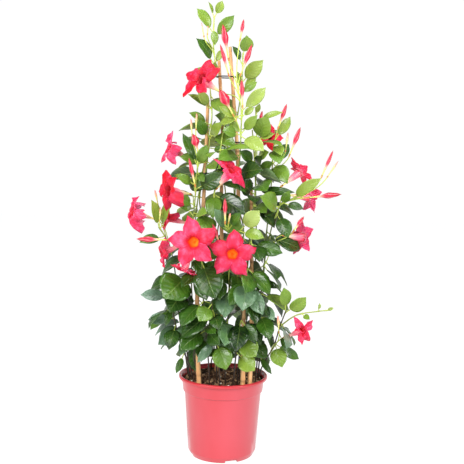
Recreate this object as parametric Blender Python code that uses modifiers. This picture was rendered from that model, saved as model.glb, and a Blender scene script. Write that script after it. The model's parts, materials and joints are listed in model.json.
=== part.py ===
"""A mandevilla trained up bamboo canes, with its nursery pot. Metres, +Z up.

The origin is the centre of the pot's underside. The plant's front is towards -Y.
Every leafy stem is one grown piece: stem, side shoots, leaves, flower stalks and buds.
"""

import math
import random

import bmesh
import bpy
from mathutils import Matrix, Vector
from mathutils.bvhtree import BVHTree

# ---------------------------------------------------------------- pot and soil (m)
POT_HEIGHT = 0.154
RIM_RADIUS = 0.085
LIP_HEIGHT = 0.0065
COLLAR_TOP_RADIUS = 0.0785
COLLAR_FOOT_RADIUS = 0.0762
COLLAR_FOOT_HEIGHT = 0.1245
BODY_TOP_RADIUS = 0.0732
BODY_FOOT_RADIUS = 0.0650
FOOT_HEIGHT = 0.010
FOOT_RADIUS = 0.0603
WALL = 0.0018
FLOOR = 0.003
SIDES = 32
NOTCH_COUNT = 4
NOTCH_WIDTH = 0.024
NOTCH_HEIGHT = 0.006
NOTCH_FIRST_ANGLE = math.radians(-71.7)

SOIL_TOP = 0.1450
SOIL_CROWN = 0.0030
SOIL_LUMP = 0.0016
SOIL_RINGS = 3
GAP = 0.0003

# ---------------------------------------------------------------- canes (m)
CANE_BOTTOM = 0.060
CANE_FOOT_RADIUS = 0.0048
CANE_TOP_RADIUS = 0.0031
CANE_ROUTES = {
    "cane_left": [
        (-0.038, -0.046, CANE_BOTTOM), (-0.044, -0.053, 0.150), (-0.050, -0.049, 0.314),
        (-0.043, -0.030, 0.466), (-0.040, -0.018, 0.560), (-0.038, -0.003, 0.672),
    ],
    "cane_right": [
        (0.033, -0.050, CANE_BOTTOM), (0.037, -0.057, 0.150), (0.036, -0.049, 0.265),
        (0.023, -0.031, 0.467), (0.018, -0.021, 0.581), (0.008, -0.010, 0.691), (0.001, 0.000, 0.770),
    ],
    "cane_outer_right": [
        (0.043, -0.040, CANE_BOTTOM), (0.0500, -0.049, 0.150), (0.051, -0.038, 0.280),
        (0.048, -0.018, 0.420), (0.046, -0.008, 0.510),
    ],
    "cane_back": [
        (-0.018, 0.042, CANE_BOTTOM), (-0.014, 0.041, 0.150), (-0.006, 0.036, 0.289),
        (-0.010, 0.021, 0.482), (-0.010, 0.012, 0.600), (-0.019, 0.001, 0.745),
    ],
}
CANE_STEP = 0.080

# ---------------------------------------------------------------- ties (m)
TIE_THICKNESS = 0.0012
TOP_TIE_HEIGHT = 0.715
MIDDLE_TIE_HEIGHT = 0.595
CLIP_HEIGHT = 0.537

# ---------------------------------------------------------------- stems and leaves (m)
STEM_FOOT = 0.118
STEM_FOOT_RADIUS = 0.0023
STEM_TIP_RADIUS = 0.0011
STEM_STEP = 0.040
END_INSET = 0.002
STALK_RADIUS = 0.0011
SLIM_BUD = 0.0030
PETIOLE_LENGTH = 0.012
PETIOLE_RADIUS = 0.0009
BLADE_THICKNESS = 0.0012
BLADE_DROOP = math.radians(34)
BLADE_FOLD = 0.16
LEAF_CLEARANCE = 0.0009
# Plain leaves at the front end above this height, so that the soil shows.
BARE_FRONT = 0.200
# Where the sections of a blade stand, as shares of its length.
BROAD_SHARES = (0.16, 0.50, 0.82)
PLAIN_SHARES = (0.22, 0.64)
PLANT_AXIS = Vector((-0.004, -0.004, 0.0))
FRONT = Vector((0.0, -1.0, 0.35))
# How the plain leaves change upwards: height, pitch of the blade, its length, its width ratio.
LEAF_HABIT = [
    (0.17, -50.0, 0.047, 0.62),
    (0.30, -42.0, 0.053, 0.62),
    (0.45, -28.0, 0.050, 0.60),
    (0.60, -4.0, 0.044, 0.58),
    (0.80, 38.0, 0.036, 0.54),
]
# Ways a leaf bends aside to stay clear: turn in azimuth, change of pitch, share of its length.
BENDS = [
    (0, 0, 1.0), (22, 0, 1.0), (-22, 0, 1.0), (0, 18, 1.0), (0, -18, 1.0), (40, 10, 0.95), (-40, 10, 0.95),
    (30, -20, 0.9), (-30, -20, 0.9), (55, 0, 0.85), (-55, 0, 0.85), (20, 30, 0.8), (-20, 30, 0.8),
    (75, -10, 0.75), (-75, -10, 0.75), (0, -35, 0.7), (35, 25, 0.65), (-35, 25, 0.65),
]

# ---------------------------------------------------------------- blooms (m)
TUBE_LENGTH = 0.046
TUBE_RADIUS = 0.0016
# Along the trumpet: share of its length, radius as a share of the bloom's width.
TRUMPET = [(0.0, 0.020), (0.34, 0.048), (0.68, 0.092), (1.0, 0.125)]
LOBE_COUNT = 5
# Round one lobe: angle from its middle in degrees, reach as a share of the bloom's half width.
LOBE_OUTLINE = [(-36, 0.47), (-23, 0.82), (5, 1.0), (25, 0.80)]

BLOOMS = {
    # name: throat, way it faces, width, angle of one lobe tip in degrees, its stem, height of the stalk's root
    "bloom_01": ((-0.049, -0.045, 0.706), (-0.68, -0.56, 0.40), 0.090, 95, "vine_02", 0.668),
    "bloom_02": ((-0.105, -0.030, 0.580), (-0.86, -0.32, 0.40), 0.066, 80, "vine_04", 0.500),
    "bloom_03": ((-0.104, -0.072, 0.505), (-0.82, -0.54, 0.12), 0.084, 110, "vine_04", 0.475),
    "bloom_04": ((-0.170, -0.052, 0.464), (-0.86, -0.42, 0.28), 0.074, 60, "vine_05", 0.400),
    "bloom_05": ((-0.104, -0.028, 0.452), (-0.88, -0.35, 0.25), 0.054, 90, "vine_05", 0.385),
    "bloom_06": ((-0.056, -0.130, 0.420), (-0.20, -0.97, 0.10), 0.092, 100, "vine_06", 0.375),
    "bloom_07": ((-0.112, -0.072, 0.394), (-0.80, -0.40, -0.30), 0.054, 75, "vine_04", 0.365),
    "bloom_08": ((-0.072, -0.082, 0.366), (-0.35, -0.35, -0.87), 0.052, 45, "vine_06", 0.390),
    "bloom_09": ((0.013, -0.120, 0.399), (0.00, -1.00, 0.06), 0.088, 84, "vine_07", 0.345),
    "bloom_10": ((0.007, -0.088, 0.543), (0.54, -0.46, 0.70), 0.078, 70, "vine_13", 0.470),
    "bloom_11": ((0.078, 0.010, 0.607), (0.40, -0.70, 0.35), 0.056, 60, "vine_16", 0.535),
    "bloom_12": ((0.132, -0.030, 0.541), (0.70, 0.44, 0.52), 0.062, 80, "vine_10", 0.480),
    "bloom_13": ((0.153, 0.012, 0.495), (0.82, 0.50, -0.10), 0.068, 90, "vine_09", 0.455),
    "bloom_14": ((0.142, -0.020, 0.421), (0.76, 0.54, -0.12), 0.070, 72, "vine_09", 0.370),
    "bloom_15": ((0.142, -0.078, 0.258), (0.66, -0.56, 0.42), 0.056, 90, "vine_11", 0.200),
}

# Buds: stem, height of the stalk's root, foot of the bud, its tip, its widest radius.
BUDS = [
    ("vine_01", 0.752, (-0.047, -0.010, 0.786), (-0.052, -0.012, 0.812), 0.0014),
    ("vine_01", 0.756, (-0.041, -0.012, 0.790), (-0.040, -0.014, 0.806), 0.0012),
    ("vine_02", 0.690, (-0.001, -0.022, 0.744), (-0.013, -0.030, 0.807), 0.0062),
    ("vine_02", 0.675, (0.000, -0.034, 0.715), (-0.017, -0.042, 0.770), 0.0034),
    ("vine_02", 0.700, (0.019, -0.020, 0.780), (0.025, -0.020, 0.818), 0.0034),
    ("vine_02", 0.682, (0.021, -0.028, 0.716), (0.041, -0.032, 0.772), 0.0048),
    ("vine_02", 0.618, (0.026, -0.056, 0.657), (0.023, -0.060, 0.706), 0.0042),
    ("vine_02", 0.606, (0.010, -0.056, 0.642), (-0.016, -0.066, 0.687), 0.0088),
    ("vine_04", 0.545, (-0.051, -0.054, 0.571), (-0.062, -0.056, 0.608), 0.0074),
    ("vine_04", 0.550, (-0.064, -0.048, 0.605), (-0.067, -0.047, 0.636), 0.0020),
    ("vine_04", 0.555, (-0.057, -0.056, 0.615), (-0.056, -0.058, 0.645), 0.0018),
    ("vine_04", 0.480, (-0.056, -0.070, 0.515), (-0.068, -0.074, 0.565), 0.0036),
    ("vine_05", 0.395, (-0.102, -0.098, 0.420), (-0.157, -0.104, 0.421), 0.0050),
    ("vine_05", 0.405, (-0.125, -0.040, 0.478), (-0.131, -0.043, 0.506), 0.0020),
    ("vine_05", 0.420, (-0.118, -0.082, 0.452), (-0.116, -0.084, 0.478), 0.0016),
    ("vine_07", 0.440, (-0.001, -0.098, 0.452), (-0.002, -0.104, 0.497), 0.0038),
    ("vine_07", 0.436, (0.005, -0.096, 0.452), (0.008, -0.100, 0.470), 0.0018),
    ("vine_07", 0.380, (-0.010, -0.092, 0.413), (-0.023, -0.098, 0.450), 0.0038),
    ("vine_09", 0.488, (0.148, -0.045, 0.497), (0.211, -0.038, 0.504), 0.0054),
    ("vine_09", 0.494, (0.172, -0.046, 0.535), (0.192, -0.046, 0.584), 0.0032),
    ("vine_09", 0.490, (0.182, -0.050, 0.535), (0.201, -0.052, 0.565), 0.0020),
    ("vine_09", 0.398, (0.122, -0.062, 0.436), (0.141, -0.062, 0.464), 0.0040),
    ("vine_10", 0.590, (0.092, -0.024, 0.622), (0.107, -0.026, 0.667), 0.0040),
    ("vine_10", 0.535, (0.106, -0.034, 0.580), (0.110, -0.036, 0.615), 0.0024),
    ("vine_10", 0.530, (0.113, -0.038, 0.572), (0.132, -0.042, 0.625), 0.0046),
    ("vine_16", 0.540, (0.058, 0.020, 0.628), (0.064, 0.018, 0.656), 0.0030),
    ("vine_11", 0.208, (0.100, -0.082, 0.254), (0.097, -0.084, 0.287), 0.0024),
]

# Stems: route from the soil, radius scale, first and last share of the length that bears rule leaves,
# distance between leaf pairs, and single leaves as (height of root, tip, roll in degrees, width ratio):
# broad ones, and upper ones of fewer faces.
VINES = {
    "vine_01": dict(
        twine=("cane_left", 0.200, 0.530, 2.2, 200),
        route=[(-0.043, -0.036, STEM_FOOT), (-0.047, -0.038, 0.165)],
        onward=[(-0.034, -0.026, 0.585), (-0.030, -0.014, 0.640), (-0.034, 0.002, 0.700),
                (-0.027, 0.000, 0.742), (-0.030, 0.000, 0.775), (-0.030, 0.000, 0.804),
                (-0.029, 0.000, 0.826)],
        rule=(0.18, 0.72), spacing=0.066,
        leaves=[
            (0.822, (-0.015, -0.002, 0.852), 25, 0.64),
            (0.822, (-0.040, 0.000, 0.850), 40, 0.36),
            (0.794, (-0.060, -0.004, 0.836), 28, 0.56),
            (0.784, (0.006, -0.012, 0.824), 25, 0.50),
            (0.738, (-0.060, -0.012, 0.781), 30, 0.60),
            (0.736, (-0.012, 0.006, 0.765), 35, 0.50),
            (0.808, (-0.027, -0.016, 0.771), 0, 0.46),
            (0.700, (-0.004, -0.016, 0.736), 15, 0.44),
            (0.655, (-0.070, -0.020, 0.678), 15, 0.42),
            (0.625, (-0.068, -0.026, 0.645), 10, 0.48),
        ],
        upper=[
            (0.680, (-0.009, -0.045, 0.648), 0, 0.50),
            (0.608, (-0.003, -0.065, 0.590), 0, 0.50),
            (0.600, (0.002, -0.052, 0.626), 0, 0.46),
            (0.602, (-0.057, -0.050, 0.630), 0, 0.60),
            (0.715, (-0.060, -0.012, 0.728), 10, 0.52),
            (0.560, (-0.074, -0.056, 0.566), 0, 0.50),
            (0.584, (0.001, -0.045, 0.578), 0, 0.50),
            (0.656, (-0.054, -0.035, 0.684), 0, 0.55),
            (0.244, (-0.039, -0.096, 0.203), 0, 0.44),
        ],
    ),
    "vine_02": dict(
        twine=("cane_right", 0.200, 0.555, 2.4, 150),
        route=[(0.029, -0.046, STEM_FOOT), (0.027, -0.047, 0.165)],
        onward=[(0.024, -0.040, 0.600), (0.024, -0.042, 0.650), (0.018, -0.034, 0.685),
                (0.014, -0.030, 0.706)],
        rule=(0.20, 0.74), spacing=0.064,
        leaves=[
            (0.650, (0.063, -0.036, 0.690), 22, 0.50),
            (0.610, (0.050, -0.062, 0.640), 15, 0.52),
        ],
        upper=[
            (0.644, (-0.012, -0.055, 0.626), 10, 0.50),
            (0.680, (0.049, -0.040, 0.702), 10, 0.50),
            (0.640, (0.045, -0.050, 0.656), 10, 0.56),
            (0.608, (-0.007, -0.062, 0.614), 0, 0.70),
            (0.606, (0.062, -0.070, 0.582), 0, 0.62),
            (0.572, (-0.032, -0.076, 0.563), 0, 0.42),
            (0.552, (-0.016, -0.076, 0.545), 0, 0.55),
            (0.536, (0.060, -0.072, 0.545), 0, 0.60),
            (0.636, (-0.017, -0.045, 0.655), 0, 0.55),
        ],
    ),
    "vine_03": dict(
        twine=("cane_back", 0.200, 0.540, 2.2, 30),
        route=[(-0.020, 0.057, STEM_FOOT), (-0.024, 0.055, 0.165)],
        onward=[(0.002, 0.034, 0.595), (0.016, 0.018, 0.640), (0.023, 0.004, 0.690),
                (0.025, 0.003, 0.735), (0.025, 0.004, 0.760)],
        rule=(0.20, 0.80), spacing=0.060,
        leaves=[
            (0.752, (0.031, -0.010, 0.789), 30, 0.86),
            (0.738, (0.006, -0.004, 0.770), 20, 0.50),
            (0.706, (0.060, -0.022, 0.743), 25, 0.56),
            (0.690, (0.048, -0.004, 0.716), 15, 0.54),
            (0.690, (0.006, 0.006, 0.724), 30, 0.50),
        ],
        upper=[
            (0.650, (0.004, -0.020, 0.672), 0, 0.56),
            (0.620, (-0.020, -0.036, 0.640), 0, 0.55),
        ],
    ),
    "vine_04": dict(
        route=[(-0.060, -0.021, STEM_FOOT), (-0.066, -0.025, 0.180), (-0.074, -0.042, 0.270),
               (-0.071, -0.056, 0.340), (-0.062, -0.060, 0.420), (-0.056, -0.054, 0.500),
               (-0.053, -0.048, 0.556)],
        rule=(0.34, 0.70), spacing=0.062,
        leaves=[
            (0.550, (-0.079, -0.038, 0.603), 15, 0.34),
            (0.546, (-0.038, -0.066, 0.585), 20, 0.56),
            (0.515, (-0.092, -0.040, 0.532), 15, 0.46),
            (0.508, (-0.010, -0.072, 0.536), 15, 0.58),
            (0.460, (-0.089, -0.052, 0.492), 25, 0.60),
            (0.350, (-0.106, -0.106, 0.318), 0, 0.92),
            (0.322, (-0.096, -0.098, 0.292), 0, 0.80),
            (0.465, (-0.034, -0.094, 0.468), -10, 0.58),
        ],
        upper=[
            (0.540, (-0.041, -0.072, 0.524), 0, 0.55),
            (0.480, (-0.084, -0.080, 0.493), 0, 0.60),
            (0.516, (-0.085, -0.075, 0.532), 0, 0.50),
            (0.252, (-0.102, -0.084, 0.226), 0, 0.60),
        ],
    ),
    "vine_05": dict(
        route=[(-0.063, 0.002, STEM_FOOT), (-0.071, -0.004, 0.180), (-0.088, -0.018, 0.290),
               (-0.094, -0.028, 0.360), (-0.104, -0.034, 0.405), (-0.122, -0.052, 0.438)],
        rule=(0.34, 0.78), spacing=0.056,
        leaves=[
            (0.436, (-0.123, -0.078, 0.487), 40, 0.40),
            (0.434, (-0.110, -0.086, 0.485), -40, 0.40),
            (0.420, (-0.138, -0.086, 0.412), 10, 0.42),
        ],
    ),
    "vine_06": dict(
        route=[(-0.024, -0.052, STEM_FOOT), (-0.026, -0.060, 0.180), (-0.034, -0.072, 0.270),
               (-0.040, -0.076, 0.340), (-0.042, -0.072, 0.395)],
        rule=(0.30, 0.92), spacing=0.054,
        leaves=[
            (0.378, (-0.034, -0.122, 0.322), 0, 0.72),
        ],
        upper=[
            (0.268, (0.001, -0.106, 0.258), 0, 0.50),
        ],
    ),
    "vine_07": dict(
        route=[(0.006, -0.050, STEM_FOOT), (0.004, -0.058, 0.180), (0.007, -0.066, 0.270),
               (0.008, -0.062, 0.340), (0.004, -0.056, 0.390), (0.004, -0.072, 0.425),
               (0.005, -0.086, 0.440)],
        shoots=[[(0.0042, -0.0565, 0.386), (0.016, -0.066, 0.425), (0.028, -0.086, 0.440)]],
        rule=(0.30, 0.70), spacing=0.058,
        leaves=[
            (0.436, (-0.020, -0.102, 0.475), 18, 0.50),
            (0.438, (0.026, -0.104, 0.470), -20, 0.44),
            (0.440, (0.058, -0.100, 0.474), 15, 0.66, 0),
            (0.436, (0.067, -0.106, 0.428), 0, 0.46, 0),
        ],
    ),
    "vine_08": dict(
        route=[(0.021, -0.057, STEM_FOOT), (0.021, -0.067, 0.180), (0.029, -0.078, 0.260),
               (0.037, -0.084, 0.330), (0.042, -0.078, 0.385), (0.048, -0.066, 0.430)],
        rule=(0.20, 0.98), spacing=0.048,
        leaves=[
            (0.350, (0.010, -0.106, 0.308), 0, 0.56),
            (0.345, (0.034, -0.122, 0.290), 0, 0.62),
            (0.340, (0.068, -0.106, 0.293), 0, 0.50),
            (0.412, (0.100, -0.090, 0.400), 5, 0.50),
        ],
        upper=[
            (0.242, (0.064, -0.100, 0.208), 0, 0.84),
            (0.214, (0.062, -0.094, 0.182), 0, 0.74),
            (0.276, (0.058, -0.102, 0.242), 0, 0.55),
        ],
    ),
    "vine_09": dict(
        route=[(0.058, -0.029, STEM_FOOT), (0.063, -0.035, 0.180), (0.066, -0.046, 0.270),
               (0.068, -0.052, 0.340), (0.077, -0.048, 0.410), (0.088, -0.044, 0.455),
               (0.104, -0.042, 0.488), (0.140, -0.044, 0.496)],
        shoots=[[(0.1010, -0.0425, 0.484), (0.140, -0.052, 0.506), (0.168, -0.048, 0.528)]],
        rule=(0.24, 0.80), spacing=0.052,
        leaves=[
            (0.480, (0.112, -0.066, 0.508), 20, 0.50),
            (0.478, (0.072, -0.052, 0.486), 10, 0.50),
            (0.486, (0.138, -0.058, 0.477), 0, 0.46),
            (0.494, (0.172, -0.062, 0.530), 5, 0.32, 0),
        ],
        upper=[
            (0.466, (0.112, -0.076, 0.427), 0, 0.56),
            (0.476, (0.046, -0.075, 0.498), 0, 0.56),
            (0.416, (0.098, -0.080, 0.400), 0, 0.44),
            (0.204, (0.089, -0.058, 0.172), 0, 0.30),
            (0.300, (0.090, -0.088, 0.278), 0, 0.42),
            (0.282, (0.083, -0.096, 0.246), 0, 0.52),
            (0.344, (0.095, -0.070, 0.333), 0, 0.40),
        ],
    ),
    "vine_10": dict(
        route=[(0.064, 0.003, STEM_FOOT), (0.070, -0.003, 0.200), (0.072, -0.010, 0.310),
               (0.075, -0.014, 0.410), (0.082, -0.018, 0.510), (0.084, -0.020, 0.570),
               (0.087, -0.021, 0.604)],
        rule=(0.20, 0.80), spacing=0.054,
        leaves=[
            (0.600, (0.112, -0.014, 0.640), 15, 0.46),
            (0.560, (0.119, -0.044, 0.526), 5, 0.58),
            (0.556, (0.112, 0.004, 0.590), 20, 0.50),
        ],
        upper=[
            (0.588, (0.094, -0.060, 0.560), 0, 0.68),
            (0.596, (0.108, -0.046, 0.574), 0, 0.60),
        ],
    ),
    "vine_11": dict(
        route=[(0.060, -0.013, STEM_FOOT), (0.072, -0.020, 0.170), (0.094, -0.044, 0.222),
               (0.104, -0.054, 0.262), (0.114, -0.054, 0.290)],
        shoots=[[(0.1030, -0.0532, 0.259), (0.132, -0.064, 0.283), (0.172, -0.064, 0.291),
                 (0.190, -0.064, 0.293)]],
        rule=(0.86, 0.92), spacing=0.050,
        leaves=[
            (0.287, (0.110, -0.058, 0.332), 25, 0.60),
            (0.284, (0.148, -0.060, 0.315), 25, 0.60),
            (0.285, (0.154, -0.084, 0.280), 5, 0.52, 0),
            (0.2925, (0.200, -0.066, 0.299), 10, 0.46, 0),
            (0.291, (0.173, -0.066, 0.306), 30, 0.46, 0),
            (0.225, (0.140, -0.034, 0.195), 0, 0.36),
            (0.226, (0.108, -0.076, 0.188), 0, 0.66),
        ],
        upper=[
            (0.248, (0.119, -0.066, 0.214), 0, 0.30),
        ],
    ),
    "vine_12": dict(
        route=[(-0.052, -0.030, STEM_FOOT), (-0.059, -0.043, 0.170), (-0.078, -0.066, 0.225),
               (-0.090, -0.068, 0.272), (-0.098, -0.062, 0.316)],
        rule=(0.90, 0.95), spacing=0.050,
        leaves=[
            (0.314, (-0.149, -0.076, 0.317), 5, 0.46),
            (0.296, (-0.104, -0.088, 0.264), 0, 0.36),
            (0.274, (-0.136, -0.068, 0.270), 0, 0.52),
            (0.262, (-0.096, -0.106, 0.226), 0, 0.58),
            (0.208, (-0.084, -0.084, 0.177), 0, 0.36),
        ],
    ),
    "vine_13": dict(
        route=[(-0.010, -0.042, STEM_FOOT), (-0.012, -0.048, 0.180), (-0.014, -0.058, 0.260),
               (-0.016, -0.062, 0.340), (-0.022, -0.060, 0.420), (-0.022, -0.056, 0.500),
               (-0.012, -0.050, 0.585), (-0.004, -0.042, 0.645)],
        rule=(0.22, 0.98), spacing=0.058,
        leaves=[],
        upper=[
            (0.640, (0.024, -0.060, 0.623), 0, 0.58),
            (0.532, (-0.042, -0.086, 0.508), 0, 0.56),
            (0.504, (-0.037, -0.090, 0.463), 0, 0.56),
            (0.500, (0.030, -0.086, 0.470), 0, 0.58),
        ],
    ),
    "vine_14": dict(
        route=[(-0.045, 0.036, STEM_FOOT), (-0.056, 0.044, 0.200), (-0.066, 0.050, 0.330),
               (-0.060, 0.044, 0.450), (-0.044, 0.034, 0.560), (-0.034, 0.024, 0.630)],
        rule=(0.18, 1.0), spacing=0.066,
        leaves=[],
    ),
    "vine_15": dict(
        route=[(0.010, 0.056, STEM_FOOT), (0.006, 0.068, 0.200), (0.010, 0.074, 0.330),
               (0.014, 0.064, 0.450), (0.018, 0.046, 0.560), (0.014, 0.036, 0.650)],
        rule=(0.18, 1.0), spacing=0.068,
        leaves=[],
    ),
    "vine_16": dict(
        route=[(0.048, 0.036, STEM_FOOT), (0.055, 0.044, 0.200), (0.058, 0.048, 0.330),
               (0.058, 0.042, 0.450), (0.052, 0.034, 0.555), (0.046, 0.024, 0.620)],
        rule=(0.18, 1.0), spacing=0.066,
        leaves=[],
    ),
    "vine_17": dict(
        route=[(-0.004, -0.062, STEM_FOOT), (-0.006, -0.072, 0.170), (-0.010, -0.082, 0.215),
               (-0.018, -0.090, 0.270), (-0.022, -0.092, 0.310)],
        rule=(0.9, 1.0), spacing=0.050,
        leaves=[
            (0.306, (-0.043, -0.122, 0.281), 0, 0.80),
            (0.296, (-0.006, -0.112, 0.264), 5, 0.50),
            (0.236, (0.010, -0.108, 0.180), 0, 0.72),
            (0.240, (-0.044, -0.108, 0.204), 0, 0.36),
            (0.262, (0.014, -0.106, 0.232), 0, 0.56),
        ],
    ),
    "vine_18": dict(
        route=[(0.030, -0.026, STEM_FOOT), (0.032, -0.024, 0.180), (0.036, -0.024, 0.300),
               (0.044, -0.036, 0.420), (0.052, -0.034, 0.500), (0.054, -0.028, 0.580),
               (0.050, -0.020, 0.660)],
        rule=(0.46, 0.98), spacing=0.058,
        leaves=[],
        upper=[
            (0.598, (0.070, -0.058, 0.638), 0, 0.74),
            (0.636, (0.095, -0.040, 0.649), 0, 0.30),
            (0.600, (0.084, -0.050, 0.611), 0, 0.40),
            (0.564, (0.073, -0.062, 0.577), 0, 0.55),
            (0.548, (0.078, -0.070, 0.568), 0, 0.52),
            (0.520, (0.070, -0.082, 0.510), 0, 0.80),
            (0.480, (0.070, -0.086, 0.471), 0, 0.60),
            (0.500, (0.104, -0.072, 0.487), 0, 0.56),
            (0.508, (0.116, -0.060, 0.507), 0, 0.26),
            (0.644, (0.057, -0.026, 0.664), 0, 0.56),
            (0.568, (0.075, -0.055, 0.575), 0, 0.50),
            (0.556, (0.025, -0.055, 0.577), 0, 0.58),
            (0.540, (0.080, -0.050, 0.559), 0, 0.56),
            (0.500, (0.036, -0.068, 0.522), 0, 0.85),
            (0.456, (0.038, -0.070, 0.449), 0, 0.60),
        ],
    ),
}

COLOURS = {
    "pot": ((0.80, 0.10, 0.12), 0.38),
    "soil": ((0.05, 0.028, 0.018), 0.95),
    "cane": ((0.62, 0.36, 0.15), 0.60),
    "tie": ((0.01, 0.01, 0.012), 0.45),
    "leaf": ((0.10, 0.24, 0.04), 0.42),
    "petal": ((0.80, 0.03, 0.09), 0.50),
}


# ---------------------------------------------------------------- small tools
def clear_objects():
    for obj in list(bpy.data.objects):
        bpy.data.objects.remove(obj, do_unlink=True)


def new_collection(name):
    collection = bpy.data.collections.new(name)
    bpy.context.scene.collection.children.link(collection)
    return collection


def new_material(name):
    colour, roughness = COLOURS[name]
    material = bpy.data.materials.new(name)
    material.use_nodes = True
    shader = material.node_tree.nodes["Principled BSDF"]
    shader.inputs["Base Color"].default_value = (*colour, 1.0)
    shader.inputs["Roughness"].default_value = roughness
    shader.inputs["Metallic"].default_value = 0.0
    return material


def new_object(name, mesh, collection, material=None):
    obj = bpy.data.objects.new(name, mesh)
    collection.objects.link(obj)
    if material:
        mesh.materials.clear()
        mesh.materials.append(material)
    return obj


def move_to(obj, collection):
    for old in list(obj.users_collection):
        old.objects.unlink(obj)
    collection.objects.link(obj)


def mesh_from(name, points, faces):
    mesh = bpy.data.meshes.new(name)
    mesh.from_pydata([tuple(point) for point in points], [], faces)
    mesh.update()
    return mesh


def evaluated_mesh(obj):
    graph = bpy.context.evaluated_depsgraph_get()
    return bpy.data.meshes.new_from_object(obj.evaluated_get(graph))


def apply_modifiers(obj):
    mesh = evaluated_mesh(obj)
    old = obj.data
    obj.modifiers.clear()
    obj.data = mesh
    bpy.data.meshes.remove(old)


def smooth_route(points, step):
    """A Catmull-Rom curve through the points, sampled about every step."""
    points = [Vector(point) for point in points]
    route = [points[0]]
    for i in range(len(points) - 1):
        before = points[max(i - 1, 0)]
        start = points[i]
        end = points[i + 1]
        after = points[min(i + 2, len(points) - 1)]
        count = max(1, round((end - start).length / step))
        for k in range(1, count + 1):
            t = k / count
            cubic = (3 * start - before - 3 * end + after) * t**3
            square = (2 * before - 5 * start + 4 * end - after) * t**2
            route.append((2 * start + (end - before) * t + square + cubic) / 2)
    return route


def at_height(route, height):
    """The first point of the route at this height and its direction, a little short of the route's end."""
    for start, end in zip(route, route[1:]):
        if start.z <= height <= end.z:
            share = (height - start.z) / max(end.z - start.z, 1e-9)
            point = start.lerp(end, share)
            if (point - route[-1]).length > END_INSET:
                return point, (end - start).normalized()
    way = (route[-1] - route[-2]).normalized()
    return route[-1] - way * END_INSET, way


def tube_mesh(name, route, radii, sides=4):
    """A round bar along the route, as a bevelled curve made into a closed mesh."""
    curve = bpy.data.curves.new(name, "CURVE")
    curve.dimensions = "3D"
    curve.bevel_depth = 1.0
    curve.bevel_resolution = (sides - 4) // 2
    curve.use_fill_caps = True
    spline = curve.splines.new("POLY")
    spline.points.add(len(route) - 1)
    for point, position, radius in zip(spline.points, route, radii):
        point.co = (*position, 1.0)
        point.radius = radius
    holder = bpy.data.objects.new(name, curve)
    bpy.context.scene.collection.objects.link(holder)
    mesh = evaluated_mesh(holder)
    bpy.data.objects.remove(holder, do_unlink=True)
    bpy.data.curves.remove(curve)
    shape = bmesh.new()
    shape.from_mesh(mesh)
    bmesh.ops.remove_doubles(shape, verts=shape.verts, dist=1e-6)
    bmesh.ops.triangulate(shape, faces=shape.faces)
    bmesh.ops.recalc_face_normals(shape, faces=shape.faces)
    shape.to_mesh(mesh)
    shape.free()
    return mesh


def graded(first, last, count):
    return [first + (last - first) * i / max(count - 1, 1) for i in range(count)]


def turned_object(name, profile, sides, collection, material):
    """A solid turned about Z from a profile of (radius, height), outer side first and downwards."""
    points = [(radius, 0.0, height) for radius, height in profile]
    mesh = bpy.data.meshes.new(name)
    mesh.from_pydata(points, [(i, i + 1) for i in range(len(points) - 1)], [])
    obj = new_object(name, mesh, collection, material)
    screw = obj.modifiers.new("turn", "SCREW")
    screw.axis = "Z"
    screw.angle = math.tau
    screw.steps = sides
    screw.render_steps = sides
    screw.use_merge_vertices = True
    screw.merge_threshold = 1e-5
    apply_modifiers(obj)
    return obj


def boolean(obj, operation, collection, solver="EXACT"):
    """Cuts the collection's objects from obj, or joins them to it, and removes them."""
    modifier = obj.modifiers.new(operation.lower(), "BOOLEAN")
    modifier.operation = operation
    modifier.operand_type = "COLLECTION"
    modifier.collection = collection
    modifier.solver = solver
    apply_modifiers(obj)
    for other in list(collection.objects):
        bpy.data.objects.remove(other, do_unlink=True)
    bpy.data.collections.remove(collection)


# ---------------------------------------------------------------- pot, soil, canes, ties
def body_radius(height):
    share = (height - FOOT_HEIGHT) / (COLLAR_FOOT_HEIGHT - FOOT_HEIGHT)
    return BODY_FOOT_RADIUS + (BODY_TOP_RADIUS - BODY_FOOT_RADIUS) * share


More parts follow.
